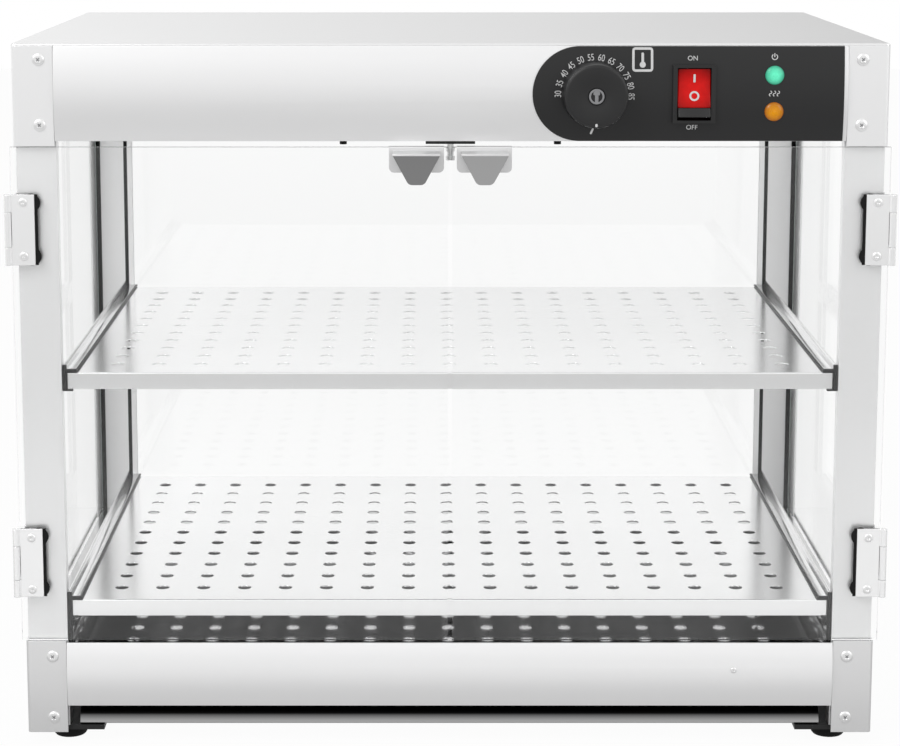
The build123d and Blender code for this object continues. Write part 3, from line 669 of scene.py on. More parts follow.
def lathe(profile: Iterable[tuple[float, float]], centre: Vector, axis: Vector,
          steps: int = 48) -> bmesh.types.BMesh:
    """Turn a profile round an axis.

    Args:
        profile: Radius and distance along the axis of each point.
        centre: Where the distances start.
        axis: The direction in which they are measured.
        steps: How many sectors the turn has.

    Returns:
        The turned shape, closed where the profile starts and ends on the axis.
    """
    shape = bmesh.new()
    across = axis.orthogonal().normalized()
    points = [shape.verts.new(centre + across * radius + axis * along)
              for radius, along in profile]
    edges = [shape.edges.new(pair) for pair in zip(points, points[1:])]
    bmesh.ops.spin(shape, geom=points + edges, cent=centre, axis=axis, dvec=(0, 0, 0),
                   angle=FULL_TURN, steps=steps, use_merge=True)
    bmesh.ops.remove_doubles(shape, verts=shape.verts, dist=WELD)
    return shape


def rounded_box(low: Vector, high: Vector, radius: float, segments: int = 3,
                along: int | None = None) -> bmesh.types.BMesh:
    """Make a box with rounded edges.

    Args:
        low: Its lowest corner.
        high: Its highest corner.
        radius: The radius of the edges.
        segments: How many faces each rounding has.
        along: Only edges along this axis are rounded, if given.

    Returns:
        The box.
    """
    shape = bmesh.new()
    bmesh.ops.create_cube(shape, size=1.0)
    bmesh.ops.scale(shape, verts=shape.verts, vec=high - low)
    bmesh.ops.translate(shape, verts=shape.verts, vec=(low + high) / 2)
    chosen = [edge for edge in shape.edges
              if along is None or abs((edge.verts[0].co - edge.verts[1].co)[along]) > WELD]
    bmesh.ops.bevel(shape, geom=chosen, offset=radius, segments=segments, profile=0.5,
                    affect="EDGES", material=-1)
    return shape


def folded_sheet(path: Sequence[tuple[float, float]], centre_x: float, widths: Sequence[float],
                 thickness: float, bend: float, tip_radius: float) -> bmesh.types.BMesh:
    """Fold a strip of sheet along a path seen from the side.

    Args:
        path: The y and z of each fold, from the first edge to the last.
        centre_x: The strip's middle.
        widths: The strip's width at each point of the path.
        thickness: The sheet's thickness.
        bend: The distance over which each fold is rounded.
        tip_radius: The corner radius of the strip's last edge.

    Returns:
        The folded strip.
    """
    shape = bmesh.new()
    points = [shape.verts.new((centre_x - width / 2, y, z))
              for (y, z), width in zip(path, widths)]
    edges = [shape.edges.new(pair) for pair in zip(points, points[1:])]
    swept = bmesh.ops.extrude_edge_only(shape, edges=edges)["geom"]
    for vert in (item for item in swept if isinstance(item, bmesh.types.BMVert)):
        vert.co.x = 2 * centre_x - vert.co.x
    folds = [edge for edge in shape.edges if len(edge.link_faces) == 2]
    bmesh.ops.bevel(shape, geom=folds, offset=bend, segments=4, profile=0.5, affect="EDGES",
                    material=-1)
    tips = [vert for vert in shape.verts
            if (Vector((vert.co.y, vert.co.z)) - Vector(path[-1])).length < WELD]
    bmesh.ops.bevel(shape, geom=tips, offset=tip_radius, segments=5, profile=0.5,
                    affect="VERTICES", material=-1)
    bmesh.ops.recalc_face_normals(shape, faces=shape.faces)
    bmesh.ops.solidify(shape, geom=shape.faces[:], thickness=thickness)
    return shape


@dataclass
class Screw:
    """A pan-head screw with a cross recess, and its plain shank."""

    head_radius: float
    head_height: float
    shank_radius: float
    shank_length: float
    recess_radius: float
    recess_depth: float
    arm_share: float = 0.42
    arm_limit: float = 0.6
    recess_reach: float = 1.05
    floor_share: float = 0.55
    floor_rise: float = 0.1
    lip_level: float = 0.985
    lip_reach: float = 1.25
    dome: Profile = ((0.72, 0.93), (0.92, 0.75), (1.0, 0.45))
    steps: int = 24

    def build(self, seat: Vector, outward: Vector) -> bmesh.types.BMesh:
        """Build one screw.

        Args:
            seat: The centre of the head's underside.
            outward: The direction in which the head faces.

        Returns:
            The screw's shape.
        """
        crown = self.head_height
        floor = crown - self.recess_depth
        profile = [(0.0, floor),
                   (self.floor_share * self.recess_radius, floor + self.floor_rise * crown),
                   (self.recess_radius, self.lip_level * crown),
                   (self.lip_reach * self.recess_radius, crown)]
        profile += [(across * self.head_radius, height * crown) for across, height in self.dome]
        profile += [(self.head_radius, 0.0), (self.shank_radius, 0.0),
                    (self.shank_radius, -self.shank_length), (0.0, -self.shank_length)]
        shape = lathe(profile, seat, outward, steps=self.steps)
        across = outward.orthogonal().normalized()
        other = outward.cross(across)
        for vert in shape.verts:
            arm = vert.co - seat
            height = arm.dot(outward)
            radial = arm - outward * height
            in_recess = height > 0 and radial.length < self.recess_reach * self.recess_radius
            if not in_recess or radial.length < WELD:
                continue
            angle = math.atan2(radial.dot(other), radial.dot(across))
            if abs(math.sin(2 * angle)) > self.arm_limit:
                vert.co = seat + outward * height + radial * self.arm_share
        return shape


def lettering(text: str, size: float, depth: float, weight: float = 0.0) -> bmesh.types.BMesh:
    """Make raised characters that face the front, centred on the origin.

    Args:
        text: The characters.
        size: The font size.
        depth: How thick the ink is.
        weight: How much the strokes are widened.

    Returns:
        The characters' shape, upright in the XZ plane.
    """
    curve = bpy.data.curves.new("lettering", "FONT")
    curve.body = text
    curve.size = size
    curve.align_x = "CENTER"
    curve.align_y = "CENTER"
    curve.extrude = depth / 2
    curve.offset = weight
    holder = bpy.data.objects.new("lettering", curve)
    bpy.context.scene.collection.objects.link(holder)
    graph = bpy.context.evaluated_depsgraph_get()
    mesh = bpy.data.meshes.new_from_object(holder.evaluated_get(graph))
    mesh.transform(Matrix.Rotation(QUARTER_TURN, 4, "X"))
    shape = bmesh.new()
    shape.from_mesh(mesh)
    bmesh.ops.remove_doubles(shape, verts=shape.verts, dist=WELD)
    bpy.data.objects.remove(holder)
    bpy.data.curves.remove(curve)
    bpy.data.meshes.remove(mesh)
    return shape


def ring(radius: float, width: float, depth: float, start: float = 0.0,
         sweep: float = FULL_TURN, steps: int = 40) -> bmesh.types.BMesh:
    """Make a flat ring, or a part of one, that faces the front around the origin.

    Args:
        radius: The radius of the ring's middle.
        width: How wide its band is.
        depth: How thick it is.
        start: The angle at which it starts, from +X towards +Z.
        sweep: How far it goes round.
        steps: How many sectors it has.

    Returns:
        The ring in the XZ plane, with its back at y = 0.
    """
    shape = bmesh.new()
    inner, outer = radius - width / 2, radius + width / 2
    ends = [shape.verts.new((r * math.cos(start), 0, r * math.sin(start)))
            for r in (inner, outer)]
    edge = shape.edges.new(ends)
    whole = sweep >= FULL_TURN
    bmesh.ops.spin(shape, geom=ends + [edge], cent=(0, 0, 0), axis=TOWARDS_FRONT, dvec=(0, 0, 0),
                   angle=sweep, steps=steps, use_merge=whole)
    bmesh.ops.recalc_face_normals(shape, faces=shape.faces)
    raised = bmesh.ops.extrude_face_region(shape, geom=shape.faces[:])["geom"]
    shift_verts(shape, raised, TOWARDS_FRONT * depth)
    return shape


def bar(centre: tuple[float, float], size: tuple[float, float], depth: float,
        radius: float) -> bmesh.types.BMesh:
    """Make a flat rounded bar that faces the front.

    Args:
        centre: The x and z of its middle.
        size: Its width and height.
        depth: How thick it is.
        radius: The radius of its corners.

    Returns:
        The bar, with its back at y = 0.
    """
    half = Vector((size[0] / 2, 0, size[1] / 2))
    middle = Vector((centre[0], 0, centre[1]))
    return rounded_box(middle - half - Vector((0, depth, 0)), middle + half, radius, along=1)


@dataclass
class ControlPanel:
    """The curved black panel with its printed marks, knob, switch and lamps."""

    ink: float = 0.00008
    lift: float = 0.00003
    bulge: float = 0.003
    dial_radius: float = 0.0252
    dial_first: float = math.radians(180)
    dial_sweep: float = math.radians(184)
    numerals: tuple[int, ...] = tuple(range(30, 90, 5))
    numeral_size: float = 0.0066
    numeral_weight: float = 0.00001
    numeral_width: float = 0.74
    word_size: float = 0.0046
    word_shift: float = -0.001
    word_levels: tuple[tuple[str, float], ...] = (("ON", 0.0246), ("OFF", -0.0234))
    tick_size: tuple[float, float] = (0.0014, 0.0046)
    tick_shift: tuple[float, float] = (-0.0016, -0.0008)
    tick_lean: float = math.radians(24)
    corner_share: float = 0.4
    icon_offset: tuple[float, float] = (0.0331, 0.0238)
    icon_size: tuple[float, float] = (0.0146, 0.0168)
    icon_line: float = 0.0017
    icon_radius: float = 0.0022
    icon_slack: float = 0.0001
    stem_size: tuple[float, float] = (0.0018, 0.45)
    stem_rise: float = 0.06
    stem_corner: float = 0.0008
    bulb_radius: float = 0.0021
    bulb_drop: float = 0.21
    symbol_rise: float = 0.0126
    symbol_radius: float = 0.0019
    symbol_line: float = 0.0006
    power_gap: float = math.radians(70)
    power_stroke: tuple[float, float] = (0.6, 1.4)
    wave_gap: float = 0.0027
    wave_bend: float = 0.45
    wave_line: float = 0.9
    knob_taper: float = 0.001
    knob_skirt: Profile = ((0.0006, 0.0), (0.0, 0.0005), (0.0, 0.0022), (0.0004, 0.0028))
    knob_nose: Profile = ((0.0, 0.0018), (0.0004, 0.0007), (0.0014, 0.0001), (0.0026, 0.0))
    knob_dish: Profile = ((0.0088, 0.0), (0.0082, 0.0002), (0.0062, 0.0002), (0.0058, 0.0012),
                          (0.0, 0.0012))
    cap_ring: tuple[float, float, float] = (0.0046, 0.0013, 0.0009)
    cap_stem: tuple[float, float] = (0.0024, 0.0082)
    cap_head: tuple[float, float] = (0.0046, 0.0026)
    cap_head_rise: float = 0.0022
    cap_depths: tuple[float, float] = (0.0007, 0.0008)
    cap_corners: tuple[float, float] = (0.0005, 0.0009)
    index_size: tuple[float, float] = (0.0016, 0.0022)
    index_inset: float = 0.0022
    index_depth: float = 0.0004
    index_corner: float = 0.0006
    index_sink: float = 0.0003
    lens_ribs: Profile = ((0.0, 1.0), (0.18, 0.98), (0.2, 0.9), (0.4, 0.86), (0.42, 0.78),
                          (0.62, 0.7), (0.64, 0.62), (0.84, 0.44), (0.95, 0.2), (1.0, 0.0))
    lens_stem: float = 0.005
    knob_low: Vector = field(default_factory=lambda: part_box("thermostat_knob")[0])
    knob_high: Vector = field(default_factory=lambda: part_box("thermostat_knob")[1])

    def __post_init__(self) -> None:
        """Take the places of the panel and its parts from the frame."""
        low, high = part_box("upper_front_fascia")
        self.crest_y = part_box("control_panel")[0].y
        self.centre_z = (low.z + high.z) / 2
        half = (high.z - low.z) / 2
        self.arc_radius = (half ** 2 + self.bulge ** 2) / (2 * self.bulge)
        self.knob_x = (self.knob_low.x + self.knob_high.x) / 2
        rocker_low, rocker_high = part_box("switch_rocker")
        self.rocker_x = (rocker_low.x + rocker_high.x) / 2

    def face_y(self, z: float) -> float:
        """Give the y of the panel's face at level z."""
        drop = self.arc_radius - math.sqrt(self.arc_radius ** 2 - (z - self.centre_z) ** 2)
        return self.crest_y + drop

    def lay_on_face(self, shape: bmesh.types.BMesh) -> None:
        """Wrap a flat shape, whose back is at y = 0, onto the panel's curve."""
        for vert in shape.verts:
            vert.co.y += self.face_y(vert.co.z) - self.lift

    def print_piece(self, shape: bmesh.types.BMesh, name: str) -> None:
        """Wrap printed marks onto the panel and place them as one piece."""
        self.lay_on_face(shape)
        place(shape, name, WHITE_INK, Body.CABINET, Slot.PALE)

    def build_dial(self) -> None:
        """Print the numerals round the knob, and the mark at its rest position."""
        shape = bmesh.new()
        last = len(self.numerals) - 1
        for index, number in enumerate(self.numerals):
            angle = self.dial_first - self.dial_sweep * index / last
            spot = Vector((self.knob_x + self.dial_radius * math.cos(angle), -self.ink / 2,
                           self.centre_z + self.dial_radius * math.sin(angle)))
            turn = Matrix.Rotation(QUARTER_TURN - angle, 4, "Y")
            narrow = Matrix.Scale(self.numeral_width, 4, (1, 0, 0))
            digits = lettering(str(number), self.numeral_size, self.ink, self.numeral_weight)
            join(shape, digits, Matrix.Translation(spot) @ turn @ narrow)
        width, height = self.tick_size
        tick = bar((0, 0), (width, height), self.ink, self.corner_share * width)
        lean = Matrix.Rotation(self.tick_lean, 4, "Y")
        spot = Vector((self.knob_x + self.tick_shift[0], 0,
                       self.centre_z - self.dial_radius + self.tick_shift[1]))
        join(shape, tick, Matrix.Translation(spot) @ lean)
        self.print_piece(shape, "dial_print")

    def build_marks(self) -> None:
        """Print the switch words, the thermometer sign and the signs over the lamps."""
        shape = bmesh.new()
        for word, rise in self.word_levels:
            spot = Vector((self.rocker_x + self.word_shift, -self.ink / 2, self.centre_z + rise))
            join(shape, lettering(word, self.word_size, self.ink, self.numeral_weight),
                 Matrix.Translation(spot))
        self.add_thermometer(shape)
        signs = {"green_lamp": self.add_power_sign, "amber_lamp": self.add_heat_sign}
        for name, add_sign in signs.items():
            low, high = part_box(name)
            add_sign(shape, (low.x + high.x) / 2, (low.z + high.z) / 2 + self.symbol_rise)
        self.print_piece(shape, "panel_print")

    def add_thermometer(self, shape: bmesh.types.BMesh) -> None:
        """Add a plain thermometer in a rounded frame.

        Args:
            shape: The flat shape that receives it.
        """
        x = self.knob_x + self.icon_offset[0]
        z = self.centre_z + self.icon_offset[1]
        middle = Vector((x, -self.ink, z))
        width, height = self.icon_size
        outline = bar((x, z), (width, height), self.ink, self.icon_radius)
        front = [face for face in outline.faces if face.normal.y < -MOSTLY_FACING]
        bmesh.ops.inset_region(outline, faces=front, thickness=self.icon_line)
        hole = [face for face in outline.faces if face.normal.y < -MOSTLY_FACING
                and (face.calc_center_median() - middle).length < self.icon_slack]
        bmesh.ops.delete(outline, geom=hole, context="FACES")
        back = [face for face in outline.faces if face.normal.y > MOSTLY_FACING]
        bmesh.ops.delete(outline, geom=back, context="FACES")
        join(shape, outline)
        stem_width, stem_share = self.stem_size
        join(shape, bar((x, z + self.stem_rise * height), (stem_width, stem_share * height),
                        self.ink, self.stem_corner))
        disc = [(0.0, 0.0), (self.bulb_radius, 0.0), (self.bulb_radius, self.ink), (0.0, self.ink)]
        join(shape, lathe(disc, Vector((x, 0, z - self.bulb_drop * height)), TOWARDS_FRONT,
                          steps=24))

    def add_power_sign(self, shape: bmesh.types.BMesh, x: float, z: float) -> None:
        """Add a broken ring with a stroke in its gap.

        Args:
            shape: The flat shape that receives it.
            x: The middle of the sign.
            z: The level of the ring's centre.
        """
        arc = ring(self.symbol_radius, self.symbol_line, self.ink,
                   QUARTER_TURN + self.power_gap / 2, FULL_TURN - self.power_gap, steps=28)
        join(shape, arc, Matrix.Translation((x, 0, z)))
        rise, length = (share * self.symbol_radius for share in self.power_stroke)
        join(shape, bar((x, z + rise), (self.symbol_line, length), self.ink,
                        self.corner_share * self.symbol_line))

    def add_heat_sign(self, shape: bmesh.types.BMesh, x: float, z: float) -> None:
        """Add three rising waves, each of two small arcs.

        Args:
            shape: The flat shape that receives them.
            x: The middle of the sign.
            z: The level of the waves' middle.
        """
        bend = self.wave_bend * self.symbol_radius
        for column in (-1, 0, 1):
            for start, level in ((-90, 1), (90, -1)):
                arc = ring(bend, self.wave_line * self.symbol_line, self.ink,
                           math.radians(start), FULL_TURN / 2, steps=8)
                spot = Vector((x + column * self.wave_gap, 0, z + level * bend))
                join(shape, arc, Matrix.Translation(spot))

    def build_knob(self) -> None:
        """Turn the knob with its skirt, soft front edge and recessed metal cap."""
        radius = self.knob_high.x - self.knob_x
        length = self.knob_high.y - self.knob_low.y
        centre = Vector((self.knob_x, self.knob_high.y, self.centre_z))
        front = radius - self.knob_taper
        profile = [(0.0, 0.0)] + [(radius - inset, along) for inset, along in self.knob_skirt]
        profile += [(front - inset, length - back) for inset, back in self.knob_nose]
        profile += [(across, length - back) for across, back in self.knob_dish]
        place(lathe(profile, centre, TOWARDS_FRONT, steps=96), "knob_body", BLACK_SATIN,
              Body.KNOB, Slot.BLACK, ["thermostat_knob"])
        cap = bmesh.new()
        middle = centre + TOWARDS_FRONT * (length - self.knob_dish[-1][1])
        parts = (ring(*self.cap_ring),
                 bar((0, 0), self.cap_stem, self.cap_depths[0], self.cap_corners[0]),
                 bar((0, self.cap_head_rise), self.cap_head, self.cap_depths[1],
                     self.cap_corners[1]))
        for part in parts:
            join(cap, part, Matrix.Translation(middle))
        place(cap, "knob_cap", GREY_METAL, Body.KNOB, Slot.POLISHED)
        index = bar((0, self.index_inset - front), self.index_size, self.index_depth,
                    self.index_corner)
        bmesh.ops.translate(index, verts=index.verts,
                            vec=centre + TOWARDS_FRONT * (length - self.index_sink))
        place(index, "knob_index", WHITE_INK, Body.KNOB, Slot.PALE)

    def build_lamps(self) -> None:
        """Turn the two lenses, each a ribbed dome on a stem."""
        for name, finish, slot in (("green_lamp", GREEN_LENS, Slot.GREEN),
                                   ("amber_lamp", AMBER_LENS, Slot.AMBER)):
            low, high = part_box(name)
            radius = (high.x - low.x) / 2
            height = self.crest_y - low.y
            depth = high.y - self.crest_y
            centre = Vector(((low.x + high.x) / 2, self.crest_y, (low.z + high.z) / 2))
            ribs = [(across * radius, rise * height) for across, rise in self.lens_ribs]
            ribs += [(self.lens_stem, 0.0), (self.lens_stem, -depth), (0.0, -depth)]
            place(lathe(ribs, centre, TOWARDS_FRONT), f"{name}_lens", finish, Body.CABINET, slot,
                  [name])

    def build(self) -> None:
        """Build the whole panel."""
        dress(["control_panel"], PANEL_BLACK)
        dress(["switch_housing"], BLACK_SATIN)
        dress(["thermostat_spindle"], SCREW_STEEL)
        self.build_dial()
        self.build_marks()
        self.build_knob()
        self.build_lamps()


@dataclass
class Rocker:
    """The red rocker, dished, with its on and off marks."""

    width: float = 0.0226
    height: float = 0.034
    tilt: float = math.radians(8)
    lift: float = 0.0065
    dish: float = 0.0025
    dish_power: float = 1.6
    back: float = 0.003
    back_height: float = 0.022
    edge: float = 0.0008
    pivot_behind_face: float = 0.0022
    dish_steps: int = 12
    heel_top: float = -0.010
    mark_depth: float = 0.0002
    mark_lift: float = 0.0001
    stroke_size: tuple[float, float] = (0.0015, 0.0056)
    stroke_corner: float = 0.0005
    stroke_rise: float = 0.0104
    circle_radius: float = 0.0028
    circle_line: float = 0.0013
    circle_rise: float = -0.0018

    def __post_init__(self) -> None:
        """Take the rocker's place from the frame."""
        low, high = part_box("switch_rocker")
        self.x = (low.x + high.x) / 2
        self.z = (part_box("switch_housing")[0].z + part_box("switch_housing")[1].z) / 2
        self.pivot_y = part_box("control_panel")[0].y + self.pivot_behind_face

    def point(self, forward: float, rise: float) -> Vector:
        """Give a place in the rocker's own tilted frame.

        Args:
            forward: Distance from the pivot towards the front.
            rise: Distance from the pivot along the rocker's face, upwards.

        Returns:
            The place in the cabinet's frame, in the rocker's middle plane.
        """
        y = self.pivot_y - forward * math.cos(self.tilt) + rise * math.sin(self.tilt)
        z = self.z + forward * math.sin(self.tilt) + rise * math.cos(self.tilt)
        return Vector((self.x, y, z))

    def surface(self, rise: float) -> float:
        """Give how far the dished face stands before the pivot at a rise."""
        share = min(1.0, abs(rise) / (self.height / 2))
        return self.lift - self.dish * (1 - share ** self.dish_power)

    def wedge(self, low: float, high: float) -> bmesh.types.BMesh:
        """Make the part of the rocker between two rises, with its share of the dished face.

        Args:
            low: The lower rise.
            high: The upper rise.

        Returns:
            The part, with softened edges.
        """
        shape = bmesh.new()
        root = self.back_height / 2
        rises = [high - (high - low) * step / self.dish_steps
                 for step in range(self.dish_steps + 1)]
        outline = [self.point(-self.back, max(low, -root)), self.point(-self.back, min(high, root))]
        outline += [self.point(self.surface(rise), rise) for rise in rises]
        side = Vector((self.width / 2, 0, 0))
        face = shape.faces.new([shape.verts.new(corner - side) for corner in outline])
        moved = bmesh.ops.extrude_face_region(shape, geom=[face])["geom"]
        shift_verts(shape, moved, 2 * side)
        bmesh.ops.recalc_face_normals(shape, faces=shape.faces)
        sharp = [edge for edge in shape.edges if edge.calc_face_angle(0.0) > SMOOTH_ANGLE]
        bmesh.ops.bevel(shape, geom=sharp, offset=self.edge, segments=3, profile=0.5,
                        affect="EDGES", material=-1)
        return shape

    def build(self) -> None:
        """Build the red cap, the black heel under it, and the marks."""
        half = self.height / 2
        # The red finish glows and darkens towards the rocker's edges: painted light and shade.
        place(self.wedge(self.heel_top, half), "rocker_cap", ROCKER_RED, Body.ROCKER, Slot.RED,
              ["switch_rocker"])
        place(self.wedge(-half, self.heel_top), "rocker_heel", BLACK_SATIN, Body.ROCKER, Slot.BLACK)
        marks = bmesh.new()
        stroke = bar((0, 0), self.stroke_size, self.mark_depth, self.stroke_corner)
        circle = ring(self.circle_radius, self.circle_line, self.mark_depth)
        for mark, rise in ((stroke, self.stroke_rise), (circle, self.circle_rise)):
            for vert in mark.verts:
                across = vert.co.x
                level = rise + vert.co.z
                forward = self.surface(level) + self.mark_lift - vert.co.y
                vert.co = self.point(forward, level) + Vector((across, 0, 0))
            join(marks, mark)
        place(marks, "rocker_marks", WHITE_INK, Body.ROCKER, Slot.PALE)


@dataclass
class Housing:
    """The sheet-metal body: roof, beams, end caps, posts, decks and tray, with its screws."""

    tiers: tuple[str, str] = ("upper", "lower")
    ends: tuple[str, str] = ("front", "rear")
    tray_roll: float = 0.013
    tray_heel: float = 0.002
    heel_curve: float = 0.3
    roll_steps: int = 6
    tray_sheet: float = 0.0012
    seal_width: float = 0.005
    seal_thickness: float = 0.00152
    seal_inset: float = 0.003
    seal_gap: float = 0.0001
    seal_edge: float = 0.3
    channel_line: tuple[float, float] = (0.0003, 0.0033)
    channel_proud: float = 0.0003
    # Dark discs set in the cap screws' recesses: painted shade.
    shade_disc_radius: float = 0.0016
    shade_disc_depth: float = 0.0001
    shade_disc_rise: float = 1.6
    cap_screw: Screw = field(default_factory=lambda: Screw(
        head_radius=0.0043, head_height=0.0014, shank_radius=0.002, shank_length=0.009,
        recess_radius=0.0019, recess_depth=0.0009))
    beam_screw: Screw = field(default_factory=lambda: Screw(
        head_radius=0.0022, head_height=0.0011, shank_radius=0.0011, shank_length=0.0024,
        recess_radius=0.001, recess_depth=0.0006))
    cap_screw_levels: tuple[float, ...] = (0.4967, 0.4511, 0.0669, 0.0213)

    def build(self) -> None:
        """Dress the sheet metal and build the screws that show."""
        dress(["roof_sheet"], ROOF_STEEL)
        dress(["ceiling_plate"], BEAM_STEEL["upper"])
        for tier in self.tiers:
            # Upper and lower beams and caps take different levels of one steel: painted light and
            # shade.
            dress([f"{tier}_{end}_fascia" for end in self.ends], BEAM_STEEL[tier])
            dress([f"{tier}_end_cap_{side.label}" for side in Side], CAP_STEEL[tier])
        # Front and rear posts take different levels of one steel: painted light and shade.
        for end, finish in zip(self.ends, (POST_STEEL, REAR_STEEL)):
            dress([f"{end}_post_{side.label}" for side in Side], finish)
        dress(["rear_glass_channels"], REAR_STEEL)
        dress(["base_pan"], POLISHED)
        self.build_screws()
        self.build_tray()
        self.build_seals()

    def build_tray(self) -> None:
        """Roll the tray's front and rear lips inwards under the beams."""
        low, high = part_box("bottom_tray")
        half = self.tray_sheet / 2
        shape = bmesh.new()
        quarter = [math.radians(90 + 90 * step / self.roll_steps)
                   for step in range(self.roll_steps + 1)]
        centre_z = high.z - self.tray_roll
        front = [(low.y + half + self.tray_roll * (1 + math.cos(angle)),
                  centre_z - half + self.tray_roll * math.sin(angle)) for angle in quarter]
        bend = self.heel_curve * self.tray_heel
        front += [(low.y + half + bend, low.z + half + bend),
                  (low.y + half + self.tray_heel, low.z + half)]
        rear = [(low.y + high.y - y, z) for y, z in reversed(front)]
        points = [shape.verts.new((low.x, y, z)) for y, z in front + rear]
        edges = [shape.edges.new(pair) for pair in zip(points, points[1:])]
        swept = bmesh.ops.extrude_edge_only(shape, edges=edges)["geom"]
        shift_verts(shape, swept, Vector((high.x - low.x, 0, 0)))
        bmesh.ops.recalc_face_normals(shape, faces=shape.faces)
        bmesh.ops.solidify(shape, geom=shape.faces[:], thickness=self.tray_sheet)
        # Its finish darkens the roll towards the top under the beam: painted shade.
        place(shape, "rolled_tray", TRAY_STEEL, Body.CABINET, Slot.STAINLESS, ["bottom_tray"])

    def build_seals(self) -> None:
        """Lay the black seals between the side panes and rear posts, and on the channels."""
        seals = bmesh.new()
        glass_low, glass_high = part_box("rear_glass")
        for side in Side:
            post_low, post_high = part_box(f"rear_post_{side.label}")
            pane_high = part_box(f"side_glass_{side.label}")[1]
            outer = max(abs(post_low.x), abs(post_high.x)) - self.seal_inset
            inner = min(abs(post_low.x), abs(post_high.x))
            channel_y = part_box("rear_glass_channels")[0].y
            strips = ((outer - self.seal_width, outer, pane_high.y + self.seal_gap,
                       pane_high.y + self.seal_thickness),
                      (inner - self.channel_line[1], inner - self.channel_line[0],
                       channel_y - self.channel_proud, channel_y + self.seal_gap))
            for near, far, front, back in strips:
                xs = sorted((side.value * near, side.value * far))
                join(seals, rounded_box(Vector((xs[0], front, glass_low.z)),
                                        Vector((xs[1], back, glass_high.z)),
                                        self.seal_edge * (back - front), along=2))
        place(seals, "glazing_seals", BLACK_RUBBER, Body.CABINET, Slot.RUBBER)

    def build_screws(self) -> None:
        """Build the screws of the end caps and of the lower beam, with dark discs in the cap screws'
        recesses as painted shade.
        """
        low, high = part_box("cap_screws")
        screws = bmesh.new()
        shade_discs = bmesh.new()
        reach = self.cap_screw.head_height
        # Profile of a dark disc for a recess: painted shade.
        socket = [(0.0, 0.0), (self.shade_disc_radius, 0.0),
                  (self.shade_disc_radius, self.shade_disc_depth), (0.0, self.shade_disc_depth)]
        rise = self.shade_disc_rise * (reach - self.cap_screw.recess_depth + self.shade_disc_depth / 2)
        radius = self.cap_screw.head_radius
        for outward, y in ((-1, low.y + reach), (1, high.y - reach)):
            for x in (low.x + radius, high.x - radius):
                for z in self.cap_screw_levels:
                    seat = Vector((x, y, z))
                    facing = Vector((0, outward, 0))
                    join(screws, self.cap_screw.build(seat, facing))
                    join(shade_discs, lathe(socket, seat + facing * rise, facing, steps=16))
        place(screws, "cap_screw_set", SCREW_STEEL, Body.CABINET, Slot.POLISHED, ["cap_screws"])
        # Dark metal discs in the recesses: painted shade.
        place(shade_discs, "cap_screw_recess_shade", GREY_METAL, Body.CABINET, Slot.POLISHED)
        low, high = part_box("beam_screw")
        seat = Vector(((low.x + high.x) / 2, low.y + self.beam_screw.head_height,
                       (low.z + high.z) / 2))
        place(self.beam_screw.build(seat, TOWARDS_FRONT), "beam_screw_head", SCREW_STEEL,
              Body.CABINET, Slot.POLISHED, ["beam_screw"])


@dataclass
class Shelving:
    """The two perforated shelves and the bright runners, trimmed in black, that carry them."""

    tiers: tuple[str, str] = ("upper", "lower")
    sheet: float = 0.0013
    seat: float = 0.0002
    bead: float = 0.0016
    foot_trim: float = 0.003
    end_length: float = 0.0025
    end_wall: float = 0.0029
    end_arm: float = 0.0024
    edge_share: float = 0.2

    def build(self) -> None:
        """Dress the shelves and build the runners."""
        # The shelf finish darkens faces that point down: painted shade.
        dress([f"{tier}_shelf" for tier in self.tiers], SHELF_STEEL)
        for tier in self.tiers:
            for side in Side:
                self.build_runner(tier, side)

    def build_runner(self, tier: str, side: Side) -> None:
        """Build a bright channel with a black end and a black bead along its inner edge.

        Args:
            tier: The shelf that it carries.
            side: The side that it is on.
        """
        name = f"{tier}_runner_{side.label}"
        low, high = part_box(name)
        shelf_low, shelf_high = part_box(f"{tier}_shelf")
        outer = max(abs(low.x), abs(high.x))
        inner = min(abs(low.x), abs(high.x))
        deck = shelf_high.z + self.seat
        foot = shelf_low.z

        def plate(xs: tuple[float, float], ys: tuple[float, float], zs: tuple[float, float],
                  radius: float) -> bmesh.types.BMesh:
            """Make a rounded plate on this side from sizes measured outwards."""
            left, right = sorted((side.value * xs[0], side.value * xs[1]))
            return rounded_box(Vector((left, ys[0], zs[0])), Vector((right, ys[1], zs[1])),
                               radius, segments=2)

        body_y = (low.y + self.end_length, high.y)
        thin = self.edge_share * self.sheet
        channel = bmesh.new()
        join(channel, plate((outer - self.sheet, outer), body_y, (low.z, high.z), thin))
        join(channel, plate((inner + self.bead, outer - self.sheet), body_y,
                            (deck, deck + self.sheet), thin))
        join(channel, plate((inner + self.foot_trim, outer - self.sheet), body_y,
                            (foot - self.sheet, foot), thin))
        place(channel, f"{tier}_channel_{side.label}", RUNNER_STEEL, Body.CABINET,
              Slot.STAINLESS, [name])
        end_y = (low.y, low.y + self.end_length)
        trim = bmesh.new()
        join(trim, plate((inner, inner + self.bead), (low.y, high.y),
                         (deck, deck + self.sheet), thin))
        join(trim, plate((outer - self.end_wall, outer), end_y, (low.z, high.z), thin))
        join(trim, plate((inner, outer - self.end_wall), end_y, (deck, deck + self.end_arm), thin))
        join(trim, plate((inner + self.foot_trim, outer - self.end_wall), end_y,
                         (foot - self.sheet, foot), thin))
        place(trim, f"{tier}_runner_trim_{side.label}", BLACK_SATIN, Body.CABINET, Slot.BLACK)


